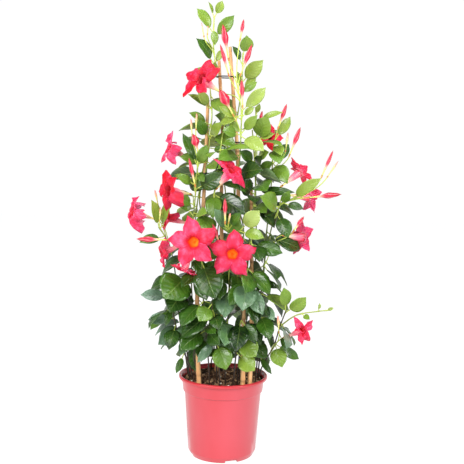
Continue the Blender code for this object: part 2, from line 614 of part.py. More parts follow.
def make_pot(collection):
    lip_foot = POT_HEIGHT - LIP_HEIGHT
    profile = [
        (RIM_RADIUS - 0.0022, POT_HEIGHT),
        (RIM_RADIUS, POT_HEIGHT - 0.0020),
        (RIM_RADIUS - 0.0012, lip_foot),
        (COLLAR_TOP_RADIUS, lip_foot - 0.0004),
        (COLLAR_FOOT_RADIUS, COLLAR_FOOT_HEIGHT),
        (BODY_TOP_RADIUS, COLLAR_FOOT_HEIGHT - 0.0012),
        (BODY_FOOT_RADIUS, FOOT_HEIGHT),
        (FOOT_RADIUS, 0.0),
        (0.0, 0.0),
        (0.0, FLOOR),
        (FOOT_RADIUS - WALL, FLOOR),
        (body_radius(FOOT_HEIGHT) - WALL, FOOT_HEIGHT + 0.002),
        (BODY_TOP_RADIUS - WALL, COLLAR_FOOT_HEIGHT - 0.001),
        (COLLAR_FOOT_RADIUS - WALL, COLLAR_FOOT_HEIGHT + 0.001),
        (COLLAR_TOP_RADIUS - WALL, lip_foot),
        (RIM_RADIUS - 0.0052, POT_HEIGHT - 0.0004),
        (RIM_RADIUS - 0.0022, POT_HEIGHT),
    ]
    pot = turned_object("pot", profile, SIDES, collection, new_material("pot"))
    pot.data.shade_smooth()
    pot.data.set_sharp_from_angle(angle=math.radians(35))
    cutters = new_collection("notch_cutters")
    for i in range(NOTCH_COUNT):
        angle = NOTCH_FIRST_ANGLE + i * math.tau / NOTCH_COUNT
        outward = Vector((math.sin(angle), -math.cos(angle), 0.0))
        bpy.ops.mesh.primitive_cube_add(size=1.0)
        cutter = bpy.context.object
        size = Matrix.Diagonal((NOTCH_WIDTH, 0.020, 2 * NOTCH_HEIGHT, 1.0))
        place = Matrix.Translation(outward * FOOT_RADIUS) @ Matrix.Rotation(angle, 4, "Z")
        cutter.data.transform(place @ size)
        cutter.hide_render = True
        cutter.display_type = "WIRE"
        move_to(cutter, cutters)
    boolean(pot, "DIFFERENCE", cutters)
    return pot


def make_soil(collection, holes):
    """The potting mix: a lumpy, slightly domed plug with a plain hole for each cane and stem."""
    inset = WALL + GAP
    edge = COLLAR_TOP_RADIUS - inset - 0.0010
    profile = [(edge * ring / SOIL_RINGS, SOIL_TOP) for ring in range(SOIL_RINGS, -1, -1)]
    profile = [
        (0.0, FLOOR + GAP),
        (FOOT_RADIUS - inset - 0.001, FLOOR + GAP),
        (body_radius(FOOT_HEIGHT) - inset - 0.0008, FOOT_HEIGHT + 0.003),
        (BODY_TOP_RADIUS - inset - 0.0004, COLLAR_FOOT_HEIGHT - 0.002),
        (COLLAR_FOOT_RADIUS - inset - 0.0006, COLLAR_FOOT_HEIGHT + 0.003),
    ] + profile
    profile.reverse()
    soil = turned_object("soil", profile, SIDES, collection, new_material("soil"))
    lumps = random.Random(7)
    for vertex in soil.data.vertices:
        reach = math.hypot(vertex.co.x, vertex.co.y)
        lump = lumps.uniform(-SOIL_LUMP, SOIL_LUMP)
        if vertex.co.z > SOIL_TOP - 0.001 and reach < edge - 0.001:
            vertex.co.z += SOIL_CROWN * (1 - (reach / edge) ** 2) + lump
    cutters = new_collection("hole_cutters")
    for index, (route, radius, sides) in enumerate(holes):
        hole = tube_mesh(f"hole_{index}", route, [radius + 2 * GAP] * len(route), sides)
        cutter = new_object(f"hole_{index}", hole, cutters)
        cutter.hide_render = True
        cutter.display_type = "WIRE"
    boolean(soil, "DIFFERENCE", cutters)
    return soil


def buried_part(route):
    """The route from a little below its foot to the first point above the soil."""
    foot = route[0] - (route[1] - route[0]).normalized() * 2 * GAP
    top = next(i for i, point in enumerate(route) if point.z > SOIL_TOP + 0.008)
    return [foot] + route[1:top + 1]


def make_canes(collection):
    canes = {}
    material = new_material("cane")
    for name, points in CANE_ROUTES.items():
        route = smooth_route(points, CANE_STEP)
        radii = graded(CANE_FOOT_RADIUS, CANE_TOP_RADIUS, len(route))
        cane = new_object(name, tube_mesh(name, route, radii, 6), collection, material)
        cane.data.shade_smooth()
        cane.data.set_sharp_from_angle(angle=math.radians(70))
        canes[name] = route
    return canes


def cane_at(canes, name, height):
    """Centre and radius of a cane at a height."""
    route = canes[name]
    point, _ = at_height(route, height)
    share = (height - route[0].z) / (route[-1].z - route[0].z)
    return point, CANE_FOOT_RADIUS + (CANE_TOP_RADIUS - CANE_FOOT_RADIUS) * share


def make_ring(name, centre, radius, collection, material):
    bpy.ops.mesh.primitive_torus_add(
        major_radius=radius, minor_radius=TIE_THICKNESS, major_segments=14, minor_segments=4)
    ring = bpy.context.object
    ring.name = name
    ring.data.transform(Matrix.Translation(centre))
    ring.data.materials.append(material)
    move_to(ring, collection)
    return ring


def make_ties(collection, canes, stems):
    """Rings round the two tallest canes, and a clip that holds the left stem to its cane."""
    material = new_material("tie")
    for name, height in (("tie_ring_top", TOP_TIE_HEIGHT), ("tie_ring_middle", MIDDLE_TIE_HEIGHT)):
        right, right_radius = cane_at(canes, "cane_right", height)
        back, _ = cane_at(canes, "cane_back", height)
        reach = (right - back).length / 2 + right_radius + 3 * GAP + TIE_THICKNESS
        make_ring(name, (right + back) / 2, reach, collection, material)
    cane, cane_radius = cane_at(canes, "cane_left", CLIP_HEIGHT)
    stem, _ = at_height(stems["vine_01"], CLIP_HEIGHT)
    apart = (stem - cane).length
    stem_radius = STEM_FOOT_RADIUS
    inner = (apart + cane_radius + stem_radius) / 2 + 2 * GAP
    away = (stem - cane).normalized()
    centre = cane + away * (inner - cane_radius - 2 * GAP)
    make_ring("clip_left", centre, inner + TIE_THICKNESS, collection, material)


# ---------------------------------------------------------------- stems
def twining_route(canes, cane_name, low, high, turns, start_angle):
    """A helix round a cane, between two heights."""
    count = round(turns * 7)
    route = []
    for i in range(count + 1):
        share = i / count
        height = low + (high - low) * share
        centre, radius = cane_at(canes, cane_name, height)
        reach = radius + STEM_FOOT_RADIUS + 0.0016
        angle = math.radians(start_angle) + turns * math.tau * share
        route.append(centre + Vector((math.cos(angle), math.sin(angle), 0.0)) * reach)
    return route


def main_route(vine, canes):
    route = smooth_route(vine["route"], STEM_STEP)
    if "twine" in vine:
        coil = twining_route(canes, *vine["twine"])
        lead = smooth_route([vine["route"][-2], vine["route"][-1], coil[0], coil[1]], STEM_STEP)
        first = next(i for i, point in enumerate(lead) if point.z >= vine["route"][-1][2] + 1e-6)
        lead = [point for point in lead[first:] if point.z < coil[0].z - 1e-6]
        leave = smooth_route([coil[-1]] + [Vector(point) for point in vine["onward"]], STEM_STEP)
        route = route + lead + coil + leave[1:]
    return route


def stalk_route(start, start_way, end, end_way, count=3):
    """A smooth stalk from a stem to the foot of a bud or a bloom."""
    reach = (end - start).length * 0.4
    first = start + start_way * reach
    second = end - end_way * reach
    route = []
    for i in range(count + 1):
        t = i / count
        point = start * (1 - t) ** 3 + first * (3 * t * (1 - t) ** 2)
        route.append(point + second * (3 * t * t * (1 - t)) + end * t**3)
    return route[:-1] + [end - end_way * 0.004, end]


def bud_route(foot, tip, widest):
    """Centres and radii of a bud: narrow green tube, swelling, and pointed tip."""
    if widest < SLIM_BUD:
        shares = [0.0, 0.60, 1.0]
        radii = [0.0012, widest, 0.0003]
    else:
        shares = [0.0, 0.32, 0.62, 0.84, 1.0]
        radii = [0.0013, 0.0017, widest, widest * 0.62, 0.0003]
    return [foot.lerp(tip, share) for share in shares], radii


def all_stalks(stems):
    """Each flower stalk and bud as (stem name, route, radii, sides)."""
    stalks = []
    for throat, facing, _, _, vine, height in BLOOMS.values():
        way = Vector(facing).normalized()
        foot = Vector(throat) - way * (TUBE_LENGTH + GAP)
        start, along = at_height(stems[vine], height)
        route = stalk_route(start, (along + way * 0.6).normalized(), foot, way)
        radii = [STALK_RADIUS] * (len(route) - 1) + [TUBE_RADIUS * 1.25]
        stalks.append((vine, route, radii, 4))
    for vine, height, foot, tip, widest in BUDS:
        foot = Vector(foot)
        way = (Vector(tip) - foot).normalized()
        start, along = at_height(stems[vine], height)
        route = stalk_route(start, (along + way * 0.6).normalized(), foot, way, 2)[:-2]
        bud, radii = bud_route(foot, Vector(tip), widest)
        sides = 6 if widest > 0.0060 else 4
        stalks.append((vine, route + bud, [STALK_RADIUS * 0.9] * len(route) + radii, sides))
    return stalks


# ---------------------------------------------------------------- leaves
def habit(height):
    """Pitch, length and width ratio of a leaf at this height."""
    rows = LEAF_HABIT
    if height <= rows[0][0]:
        return rows[0][1:]
    for low, high in zip(rows, rows[1:]):
        if height <= high[0]:
            share = (height - low[0]) / (high[0] - low[0])
            return tuple(a + (b - a) * share for a, b in zip(low[1:], high[1:]))
    return rows[-1][1:]


def outward_from_axis(point):
    way = Vector((point.x - PLANT_AXIS.x, point.y - PLANT_AXIS.y, 0.0))
    return way.normalized() if way.length > 1e-6 else Vector((0.0, -1.0, 0.0))


def make_leaf(root, tip, hint, roll, ratio, broad):
    """A leaf from its root in the stem to its tip: the blade arches away from its upper face."""
    chord = tip - root
    petiole = min(PETIOLE_LENGTH, chord.length * 0.28)
    way = chord.normalized()
    base = root + way * petiole
    droop = BLADE_DROOP
    plain = hint is None
    if plain:
        flat = Vector((way.x, way.y, 0.0)).normalized()
        outward = outward_from_axis(tip)
        hint = Vector((0.0, 0.0, 1.0)) + (outward - flat * outward.dot(flat)) * 1.6 - flat * way.z * 1.4
    face = (hint - way * hint.dot(way)).normalized()
    face = Matrix.Rotation(math.radians(roll), 3, way) @ face
    axis = (way * math.cos(droop / 2) + face * math.sin(droop / 2)).normalized()
    face = (face - axis * face.dot(axis)).normalized()
    length = (tip - base).length * (droop / 2) / math.sin(droop / 2)
    broad = broad and length > 0.040
    shares = BROAD_SHARES if broad else PLAIN_SHARES
    return dict(
        root=root, base=base, axis=axis, face=face, length=length, width=length * ratio, droop=droop,
        broad=broad, plain=plain, shares=shares)


def blade_half_width(share):
    """Half width of the blade as a share of its full width: broadly ovate with a drawn-out tip."""
    full = math.sin(math.pi * share**0.80) ** 0.72
    tip = max(0.0, (share - 0.78) / 0.22)
    return 0.5 * full * (1 - 0.42 * tip)


def blade_point(leaf, share, across):
    """A point of the blade: share along the midrib, across from -1 to 1, and the upward normal there."""
    bend = leaf["droop"]
    angle = bend * share
    centre = leaf["base"] + leaf["axis"] * (leaf["length"] * math.sin(angle) / bend)
    centre = centre - leaf["face"] * (leaf["length"] * (1 - math.cos(angle)) / bend)
    normal = leaf["face"] * math.cos(angle) + leaf["axis"] * math.sin(angle)
    side = leaf["axis"].cross(leaf["face"])
    half = leaf["width"] * blade_half_width(share)
    rise = half * abs(across) * BLADE_FOLD
    return centre + side * (half * across) + normal * rise, normal


def leaf_solid(leaf, margin=0.0, with_petiole=True):
    """Points and faces of a thin closed leaf: sections from its pointed root to its tip.

    A broad leaf has four-cornered sections, folded above, and a plain one a keel below a flat face."""
    side = leaf["axis"].cross(leaf["face"])
    base = leaf["base"]
    reach = PETIOLE_RADIUS + margin
    above = base + leaf["face"] * reach
    sections = [[base + side * reach, above, base - side * reach, base - leaf["face"] * reach]]
    for share in leaf["shares"]:
        right, normal = blade_point(leaf, share, 1.0)
        left, _ = blade_point(leaf, share, -1.0)
        middle, _ = blade_point(leaf, share, 0.0)
        half = BLADE_THICKNESS / 2 + margin
        top = middle + normal * half
        keel = middle - normal * half
        sections.append([right + side * margin, top, left - side * margin, keel])
    corners = 4
    if not leaf["broad"]:
        corners = 3
        for section in sections:
            section.pop(1)
    tip, _ = blade_point(leaf, 1.0, 0.0)
    root = leaf["root"] if with_petiole else base - leaf["axis"] * reach
    points = [root] + [point for section in sections for point in section]
    points.append(tip + (tip - base).normalized() * margin)
    faces = [(0, 1 + i, 1 + (i + 1) % corners) for i in range(corners)]
    for k in range(len(sections) - 1):
        a = 1 + corners * k
        b = a + corners
        for i in range(corners):
            j = (i + 1) % corners
            if i % 2 == 0:
                faces += [(a + i, b + i, b + j), (a + i, b + j, a + j)]
            else:
                faces += [(a + i, b + i, a + j), (b + i, b + j, a + j)]
    last = len(points) - 1 - corners
    end = len(points) - 1
    for i in range(corners):
        faces.append((last + (i + 1) % corners, last + i, end))
    return points, faces


def tree_of(points, faces):
    return BVHTree.FromPolygons([tuple(point) for point in points], faces)


def box_of(points):
    low = Vector([min(point[k] for point in points) for k in range(3)])
    high = Vector([max(point[k] for point in points) for k in range(3)])
    return low, high


def boxes_meet(first, second):
    return all(first[0][k] <= second[1][k] and second[0][k] <= first[1][k] for k in range(3))


class Obstacles:
    """Solids already in place, each with its owner, for leaves to bend clear of."""

    def __init__(self):
        self.items = []

    def add(self, owner, points, faces, own_tree=None):
        """Keeps a solid. Its own stem's leaves are tested against own_tree where it is given."""
        tree = tree_of(points, faces)
        self.items.append((owner, box_of(points), tree, own_tree or tree))

    def add_mesh(self, owner, mesh):
        points = [vertex.co.copy() for vertex in mesh.vertices]
        self.add(owner, points, [tuple(polygon.vertices) for polygon in mesh.polygons])

    def block(self, owner, whole, blade):
        """True where the leaf meets a solid: its blade with any, its petiole with those of other owners."""
        whole_box = box_of(whole[0])
        whole_tree = None
        blade_tree = None
        for other, box, tree, own_tree in self.items:
            if not boxes_meet(whole_box, box):
                continue
            if other == owner:
                blade_tree = blade_tree or tree_of(*blade)
                if blade_tree.overlap(own_tree):
                    return True
            else:
                whole_tree = whole_tree or tree_of(*whole)
                if whole_tree.overlap(tree):
                    return True
        return False


def is_clear(leaf, owner, obstacles):
    lowest = blade_point(leaf, 1.0, 0.0)[0].z
    reach = math.hypot(leaf["base"].x, leaf["base"].y)
    if reach < RIM_RADIUS and lowest < POT_HEIGHT - 0.006:
        return False
    if leaf["plain"] and leaf["base"].y < -0.03 and abs(leaf["base"].x) < 0.075 and lowest < BARE_FRONT:
        return False
    whole = leaf_solid(leaf, LEAF_CLEARANCE)
    blade = leaf_solid(leaf, LEAF_CLEARANCE, with_petiole=False)
    return not obstacles.block(owner, whole, blade)


def place_leaf(root, tip, hint, roll, ratio, broad, owner, obstacles, placed):
    """Bends the leaf aside until it is clear, and keeps it. A leaf that finds no room is left out."""
    chord = tip - root
    azimuth = math.atan2(chord.y, chord.x)
    flat = math.hypot(chord.x, chord.y)
    pitch = math.atan2(chord.z, flat)
    for turn, tilt, scale in BENDS:
        new_azimuth = azimuth + math.radians(turn)
        new_pitch = max(math.radians(-80), min(math.radians(80), pitch + math.radians(tilt)))
        way = Vector((
            math.cos(new_azimuth) * math.cos(new_pitch),
            math.sin(new_azimuth) * math.cos(new_pitch),
            math.sin(new_pitch),
        ))
        leaf = make_leaf(root, root + way * (chord.length * scale), hint, roll, ratio, broad)
        if is_clear(leaf, owner, obstacles):
            leaf["owner"] = owner
            placed.append(leaf)
            blade = tree_of(*leaf_solid(leaf, with_petiole=False))
            obstacles.add(owner, *leaf_solid(leaf), blade)
            return True
    return False


def single_leaves(stems, shoots, obstacles, placed):
    for name, vine in VINES.items():
        for kind, broad in (("leaves", True), ("upper", False)):
            for spec in vine.get(kind, []):
                height, tip, roll, ratio = spec[:4]
                route = shoots[name][spec[4]] if len(spec) > 4 else stems[name]
                root, _ = at_height(route, height)
                place_leaf(root, Vector(tip), FRONT, roll, ratio, broad, name, obstacles, placed)


def rule_leaves(stems, obstacles, placed):
    """Opposite pairs, each pair turned a quarter from the last, aimed outward and pitched by height."""
    chance = random.Random(21)
    for name, vine in VINES.items():
        route = stems[name]
        lengths = [0.0]
        for start, end in zip(route, route[1:]):
            lengths.append(lengths[-1] + (end - start).length)
        first, last = (share * lengths[-1] for share in vine["rule"])
        reach = first
        quarter = chance.randrange(2)
        while reach <= last:
            k = max(i for i, value in enumerate(lengths[:-1]) if value <= reach)
            root = route[k].lerp(route[k + 1], (reach - lengths[k]) / (lengths[k + 1] - lengths[k]))
            along = (route[k + 1] - route[k]).normalized()
            across = along.orthogonal().normalized()
            for half in (0, 1):
                angle = quarter * math.pi / 2 + half * math.pi + chance.uniform(-0.35, 0.35)
                way = Matrix.Rotation(angle, 3, along) @ across
                flat = Vector((way.x, way.y, 0.0)) + outward_from_axis(root) * 0.60
                flat = flat.normalized()
                pitch, length, ratio = habit(root.z)
                pitch = math.radians(pitch + chance.uniform(-14, 14))
                length = (length + PETIOLE_LENGTH) * chance.uniform(0.86, 1.12)
                roll = chance.uniform(-28, 28)
                ratio = ratio * chance.uniform(0.92, 1.08)
                tip = root + (flat * math.cos(pitch) + Vector((0, 0, math.sin(pitch)))) * length
                place_leaf(root, tip, None, roll, ratio, False, name, obstacles, placed)
            reach += vine["spacing"]
            quarter += 1


# ---------------------------------------------------------------- blooms
def bloom_frame(facing, turn):
    """The bloom's axis and two directions across it, the first turned from upright."""
    axis = Vector(facing).normalized()
    up = Vector((0.0, 0.0, 1.0))
    right = axis.cross(up).normalized() * -1.0
    above = right.cross(axis).normalized() * -1.0
    if above.z < 0:
        above = above * -1.0
    first = right * math.cos(math.radians(turn)) + above * math.sin(math.radians(turn))
    second = right * -math.sin(math.radians(turn)) + above * math.cos(math.radians(turn))
    return axis, first, second


def bloom_solid(name):
    """Points and faces of a trumpet flower: a hollow tube that widens to a throat and five pointed lobes."""
    throat, facing, width, turn, _, _ = BLOOMS[name]
    throat = Vector(throat)
    axis, first, second = bloom_frame(facing, turn)
    half = width / 2

    def at(angle, reach, rise):
        return throat + first * (math.cos(angle) * reach) + second * (math.sin(angle) * reach) + axis * rise

    def ring(count, reach, rise, shift=0.0):
        return [at(math.tau * (i + shift) / count, reach, rise) for i in range(count)]

    lobe_ring = []
    for lobe in range(LOBE_COUNT):
        for angle, reach in LOBE_OUTLINE:
            lobe_ring.append((math.radians(lobe * 72 + angle), reach * half))
    thickness = 0.0013
    tube = [(share - 1.0) * TUBE_LENGTH for share, _ in TRUMPET]
    radii = [reach * width for _, reach in TRUMPET]
    rings = [
        ring(5, TUBE_RADIUS, tube[0], -0.5),
        ring(5, radii[1], tube[1], -0.5),
        ring(5, radii[2], tube[2], -0.5),
        ring(10, radii[3] + 0.0006, -thickness, -1.0),
        [at(angle, reach, -0.001) for angle, reach in lobe_ring],
        [at(angle, reach * 0.66, 0.0016) for angle, reach in lobe_ring],
        ring(10, radii[3] - 0.0008, 0.0, -1.0),
        ring(5, radii[2] - 0.0012, tube[2] + 0.001, -0.5),
    ]
    points = [point for one in rings for point in one]
    starts = [sum(len(one) for one in rings[:k]) for k in range(len(rings))]
    faces = [(0, 2, 1), (0, 3, 2), (0, 4, 3)]
    for k in range(len(rings) - 1):
        near = len(rings[k])
        far = len(rings[k + 1])
        a = starts[k]
        b = starts[k + 1]
        if near == far:
            for i in range(near):
                j = (i + 1) % near
                faces += [(a + i, a + j, b + j), (a + i, b + j, b + i)]
        elif far > near:
            for i in range(near):
                j = (i + 1) % near
                middle = b + (2 * i + 1) % far
                after = b + (2 * i + 2) % far
                faces += [(a + i, middle, b + 2 * i), (a + i, a + j, middle), (a + j, after, middle)]
        else:
            for i in range(far):
                j = (i + 1) % far
                middle = a + (2 * i + 1) % near
                after = a + (2 * i + 2) % near
                faces += [(b + i, a + 2 * i, middle), (b + i, middle, b + j), (b + j, middle, after)]
    floor = len(points)
    points.append(at(0.0, 0.0, tube[1] + 0.004))
    a = starts[-1]
    for i in range(5):
        faces.append((a + i, a + (i + 1) % 5, floor))
    return points, faces


def make_blooms(collection, obstacles):
    material = new_material("petal")
    for name in BLOOMS:
        points, faces = bloom_solid(name)
        mesh = mesh_from(name, points, faces)
        shape = bmesh.new()
        shape.from_mesh(mesh)
        bmesh.ops.recalc_face_normals(shape, faces=shape.faces)
        shape.to_mesh(mesh)
        shape.free()
        bloom = new_object(name, mesh, collection, material)
        obstacles.add_mesh(name, bloom.data)


# ---------------------------------------------------------------- the whole plant
def stem_meshes(stems, shoots, stalks):
    """Each stem, side shoot, flower stalk and bud as (vine name, closed mesh), the main stems first."""
    meshes = []
    for name, route in stems.items():
        meshes.append((name, tube_mesh(name, route, graded(STEM_FOOT_RADIUS, STEM_TIP_RADIUS, len(route)))))
    for name, lines in shoots.items():
        for line in lines:
            meshes.append((name, tube_mesh("shoot", line, graded(0.0014, 0.0009, len(line)))))
    for name, line, radii, sides in stalks:
        meshes.append((name, tube_mesh("stalk", line, radii, sides)))
    return meshes


def make_vines(collection, stems, shoots, stalks, leaves):
    """One solid for each vine: its stem, joined with all that grows from it."""
    material = new_material("leaf")
    pieces = {name: new_collection(name + "_pieces") for name in VINES}
    trunks = {}
    for name, mesh in stem_meshes(stems, shoots, stalks):
        if name in trunks:
            new_object("piece", mesh, pieces[name])
        else:
            trunks[name] = new_object(name, mesh, collection, material)
    for leaf in leaves:
        points, faces = leaf_solid(leaf)
        new_object("leaf", mesh_from("leaf", points, faces), pieces[leaf["owner"]])
    for name, trunk in trunks.items():
        boolean(trunk, "UNION", pieces[name], "MANIFOLD")


def main():
    clear_objects()
    plant = new_collection("mandevilla")
    canes = make_canes(plant)
    stems = {name: main_route(vine, canes) for name, vine in VINES.items()}
    shoots = {}
    for name, vine in VINES.items():
        shoots[name] = [smooth_route(shoot, STEM_STEP) for shoot in vine.get("shoots", [])]
    stalks = all_stalks(stems)
    make_ties(plant, canes, stems)
    make_pot(plant)
    holes = [(buried_part(route), CANE_FOOT_RADIUS, 6) for route in canes.values()]
    holes += [(buried_part(route), STEM_FOOT_RADIUS, 4) for route in stems.values()]
    make_soil(plant, holes)
    obstacles = Obstacles()
    for obj in plant.objects:
        obstacles.add_mesh(obj.name, obj.data)
    make_blooms(plant, obstacles)
    for name, mesh in stem_meshes(stems, shoots, stalks):
        obstacles.add_mesh(name, mesh)
        bpy.data.meshes.remove(mesh)
    leaves = []
    single_leaves(stems, shoots, obstacles, leaves)
    rule_leaves(stems, obstacles, leaves)
    make_vines(plant, stems, shoots, stalks, leaves)
    return stems, shoots, stalks, leaves


main()
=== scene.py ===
"""A mandevilla trained up bamboo canes, in its nursery pot: fine pieces, finishes, light and camera.

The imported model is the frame. Metres, +Z up, the origin at the centre of the pot's underside.
The routes and the places of buds, blooms and leaves are those of the plant's solids, and each leaf takes
the bend that its solid took, so each fine leaf, bud and flower lies where its solid lies.
"""

import json
import math
import random

import bmesh
import bpy
from mathutils import Euler, Matrix, Vector, noise

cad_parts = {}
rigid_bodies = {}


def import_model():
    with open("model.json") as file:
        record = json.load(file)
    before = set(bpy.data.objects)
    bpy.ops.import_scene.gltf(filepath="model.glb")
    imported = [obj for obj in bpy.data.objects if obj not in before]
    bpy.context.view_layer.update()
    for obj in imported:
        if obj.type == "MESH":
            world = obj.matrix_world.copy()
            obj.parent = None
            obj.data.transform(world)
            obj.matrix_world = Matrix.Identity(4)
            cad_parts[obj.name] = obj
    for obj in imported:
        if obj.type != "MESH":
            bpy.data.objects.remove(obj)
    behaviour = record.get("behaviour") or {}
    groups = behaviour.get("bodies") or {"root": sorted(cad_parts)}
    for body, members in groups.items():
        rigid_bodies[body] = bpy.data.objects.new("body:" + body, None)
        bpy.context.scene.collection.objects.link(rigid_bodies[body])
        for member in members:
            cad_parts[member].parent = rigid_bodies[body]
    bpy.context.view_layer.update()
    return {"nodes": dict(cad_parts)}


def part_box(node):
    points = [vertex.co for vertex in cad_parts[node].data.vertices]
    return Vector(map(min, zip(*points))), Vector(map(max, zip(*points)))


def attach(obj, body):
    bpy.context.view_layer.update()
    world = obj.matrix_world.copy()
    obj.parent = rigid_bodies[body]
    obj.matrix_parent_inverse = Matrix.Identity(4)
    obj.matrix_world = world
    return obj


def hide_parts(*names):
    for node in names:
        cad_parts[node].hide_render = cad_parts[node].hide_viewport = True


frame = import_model()

# ================================================================ the plant's plan, as in its solids
# Lengths are in metres, but in millimetres in the tables of canes, blooms, buds, stems and young leaves.
# ---------------------------------------------------------------- pot and soil
POT_HEIGHT = 0.154
RIM_RADIUS = 0.085
SOIL_TOP = 0.1450
SOIL_REACH = 0.0757
# ---------------------------------------------------------------- canes
CANE_BOTTOM = 60
CANE_FOOT_RADIUS = 0.0048
CANE_TOP_RADIUS = 0.0031
CANE_ROUTES = {
    "cane_left": [
        (-38, -46, CANE_BOTTOM), (-44, -53, 150), (-50, -49, 314), (-43, -30, 466), (-40, -18, 560), (-38, -3, 672),
    ],
    "cane_right": [
        (33, -50, CANE_BOTTOM), (37, -57, 150), (36, -49, 265), (23, -31, 467), (18, -21, 581), (8, -10, 691),
        (1, 0, 770),
    ],
    "cane_outer_right": [
        (43, -40, CANE_BOTTOM), (50, -49, 150), (51, -38, 280), (48, -18, 420), (46, -8, 510),
    ],
    "cane_back": [
        (-18, 42, CANE_BOTTOM), (-14, 41, 150), (-6, 36, 289), (-10, 21, 482), (-10, 12, 600), (-19, 1, 745),
    ],
}
CANE_STEP = 0.080
# ---------------------------------------------------------------- ties
TIE_THICKNESS = 0.0012
# ---------------------------------------------------------------- stems and leaves
STEM_FOOT = 118
STEM_FOOT_RADIUS = 0.0023
STEM_TIP_RADIUS = 0.0011
STEM_STEP = 0.040
# Round a cane: steps in one turn, and the room between stem and cane.
TWINE_STEPS = 7
TWINE_ROOM = 0.0016
END_INSET = 0.002
SHOOT_RADII = (0.0014, 0.0009)
PETIOLE_RADII = (0.0011, 0.0008)
STALK_RADIUS = 0.0011
STALK_STEPS = 8
SLIM_BUD = 0.0030
SLIM_BUD_CUP = 0.0010
BUD_CUP = 0.0013
PETIOLE_LENGTH = 0.012
BLADE_DROOP = math.radians(34)
BLADE_FOLD = 0.16
# The steepest a leaf may bend to, and how near its tip has to lie to a corner of its stem's solid.
STEEPEST = math.radians(80)
TIP_MATCH = 0.0001
PLANT_AXIS = Vector((-0.004, -0.004, 0.0))
FRONT = Vector((0.0, -1.0, 0.35))
# How the plain leaves change upwards: height, pitch of the blade in degrees, its length, its width ratio.
LEAF_HABIT = [
    (0.17, -50.0, 0.047, 0.62), (0.30, -42.0, 0.053, 0.62), (0.45, -28.0, 0.050, 0.60), (0.60, -4.0, 0.044, 0.58),
    (0.80, 38.0, 0.036, 0.54),
]
# Ways a leaf bends aside to stay clear: turn in azimuth, change of pitch, share of its length.
BENDS = [
    (0, 0, 1.0), (22, 0, 1.0), (-22, 0, 1.0), (0, 18, 1.0), (0, -18, 1.0), (40, 10, 0.95), (-40, 10, 0.95),
    (30, -20, 0.9), (-30, -20, 0.9), (55, 0, 0.85), (-55, 0, 0.85), (20, 30, 0.8), (-20, 30, 0.8),
    (75, -10, 0.75), (-75, -10, 0.75), (0, -35, 0.7), (35, 25, 0.65), (-35, 25, 0.65),
]
# ---------------------------------------------------------------- blooms
TUBE_LENGTH = 0.046
TUBE_RADIUS = 0.0016
LOBE_COUNT = 5
BLOOMS = {
    # name: throat, way it faces, width, angle of one lobe tip in degrees, its stem, height of the stalk's root
    "bloom_01": ((-49, -45, 706), (-0.68, -0.56, 0.40), 90, 95, "vine_02", 668),
    "bloom_02": ((-105, -30, 580), (-0.86, -0.32, 0.40), 66, 80, "vine_04", 500),
    "bloom_03": ((-104, -72, 505), (-0.82, -0.54, 0.12), 84, 110, "vine_04", 475),
    "bloom_04": ((-170, -52, 464), (-0.86, -0.42, 0.28), 74, 60, "vine_05", 400),
    "bloom_05": ((-104, -28, 452), (-0.88, -0.35, 0.25), 54, 90, "vine_05", 385),
    "bloom_06": ((-56, -130, 420), (-0.20, -0.97, 0.10), 92, 100, "vine_06", 375),
    "bloom_07": ((-112, -72, 394), (-0.80, -0.40, -0.30), 54, 75, "vine_04", 365),
    "bloom_08": ((-72, -82, 366), (-0.35, -0.35, -0.87), 52, 45, "vine_06", 390),
    "bloom_09": ((13, -120, 399), (0.00, -1.00, 0.06), 88, 84, "vine_07", 345),
    "bloom_10": ((7, -88, 543), (0.54, -0.46, 0.70), 78, 70, "vine_13", 470),
    "bloom_11": ((78, 10, 607), (0.40, -0.70, 0.35), 56, 60, "vine_16", 535),
    "bloom_12": ((132, -30, 541), (0.70, 0.44, 0.52), 62, 80, "vine_10", 480),
    "bloom_13": ((153, 12, 495), (0.82, 0.50, -0.10), 68, 90, "vine_09", 455),
    "bloom_14": ((142, -20, 421), (0.76, 0.54, -0.12), 70, 72, "vine_09", 370),
    "bloom_15": ((142, -78, 258), (0.66, -0.56, 0.42), 56, 90, "vine_11", 200),
}
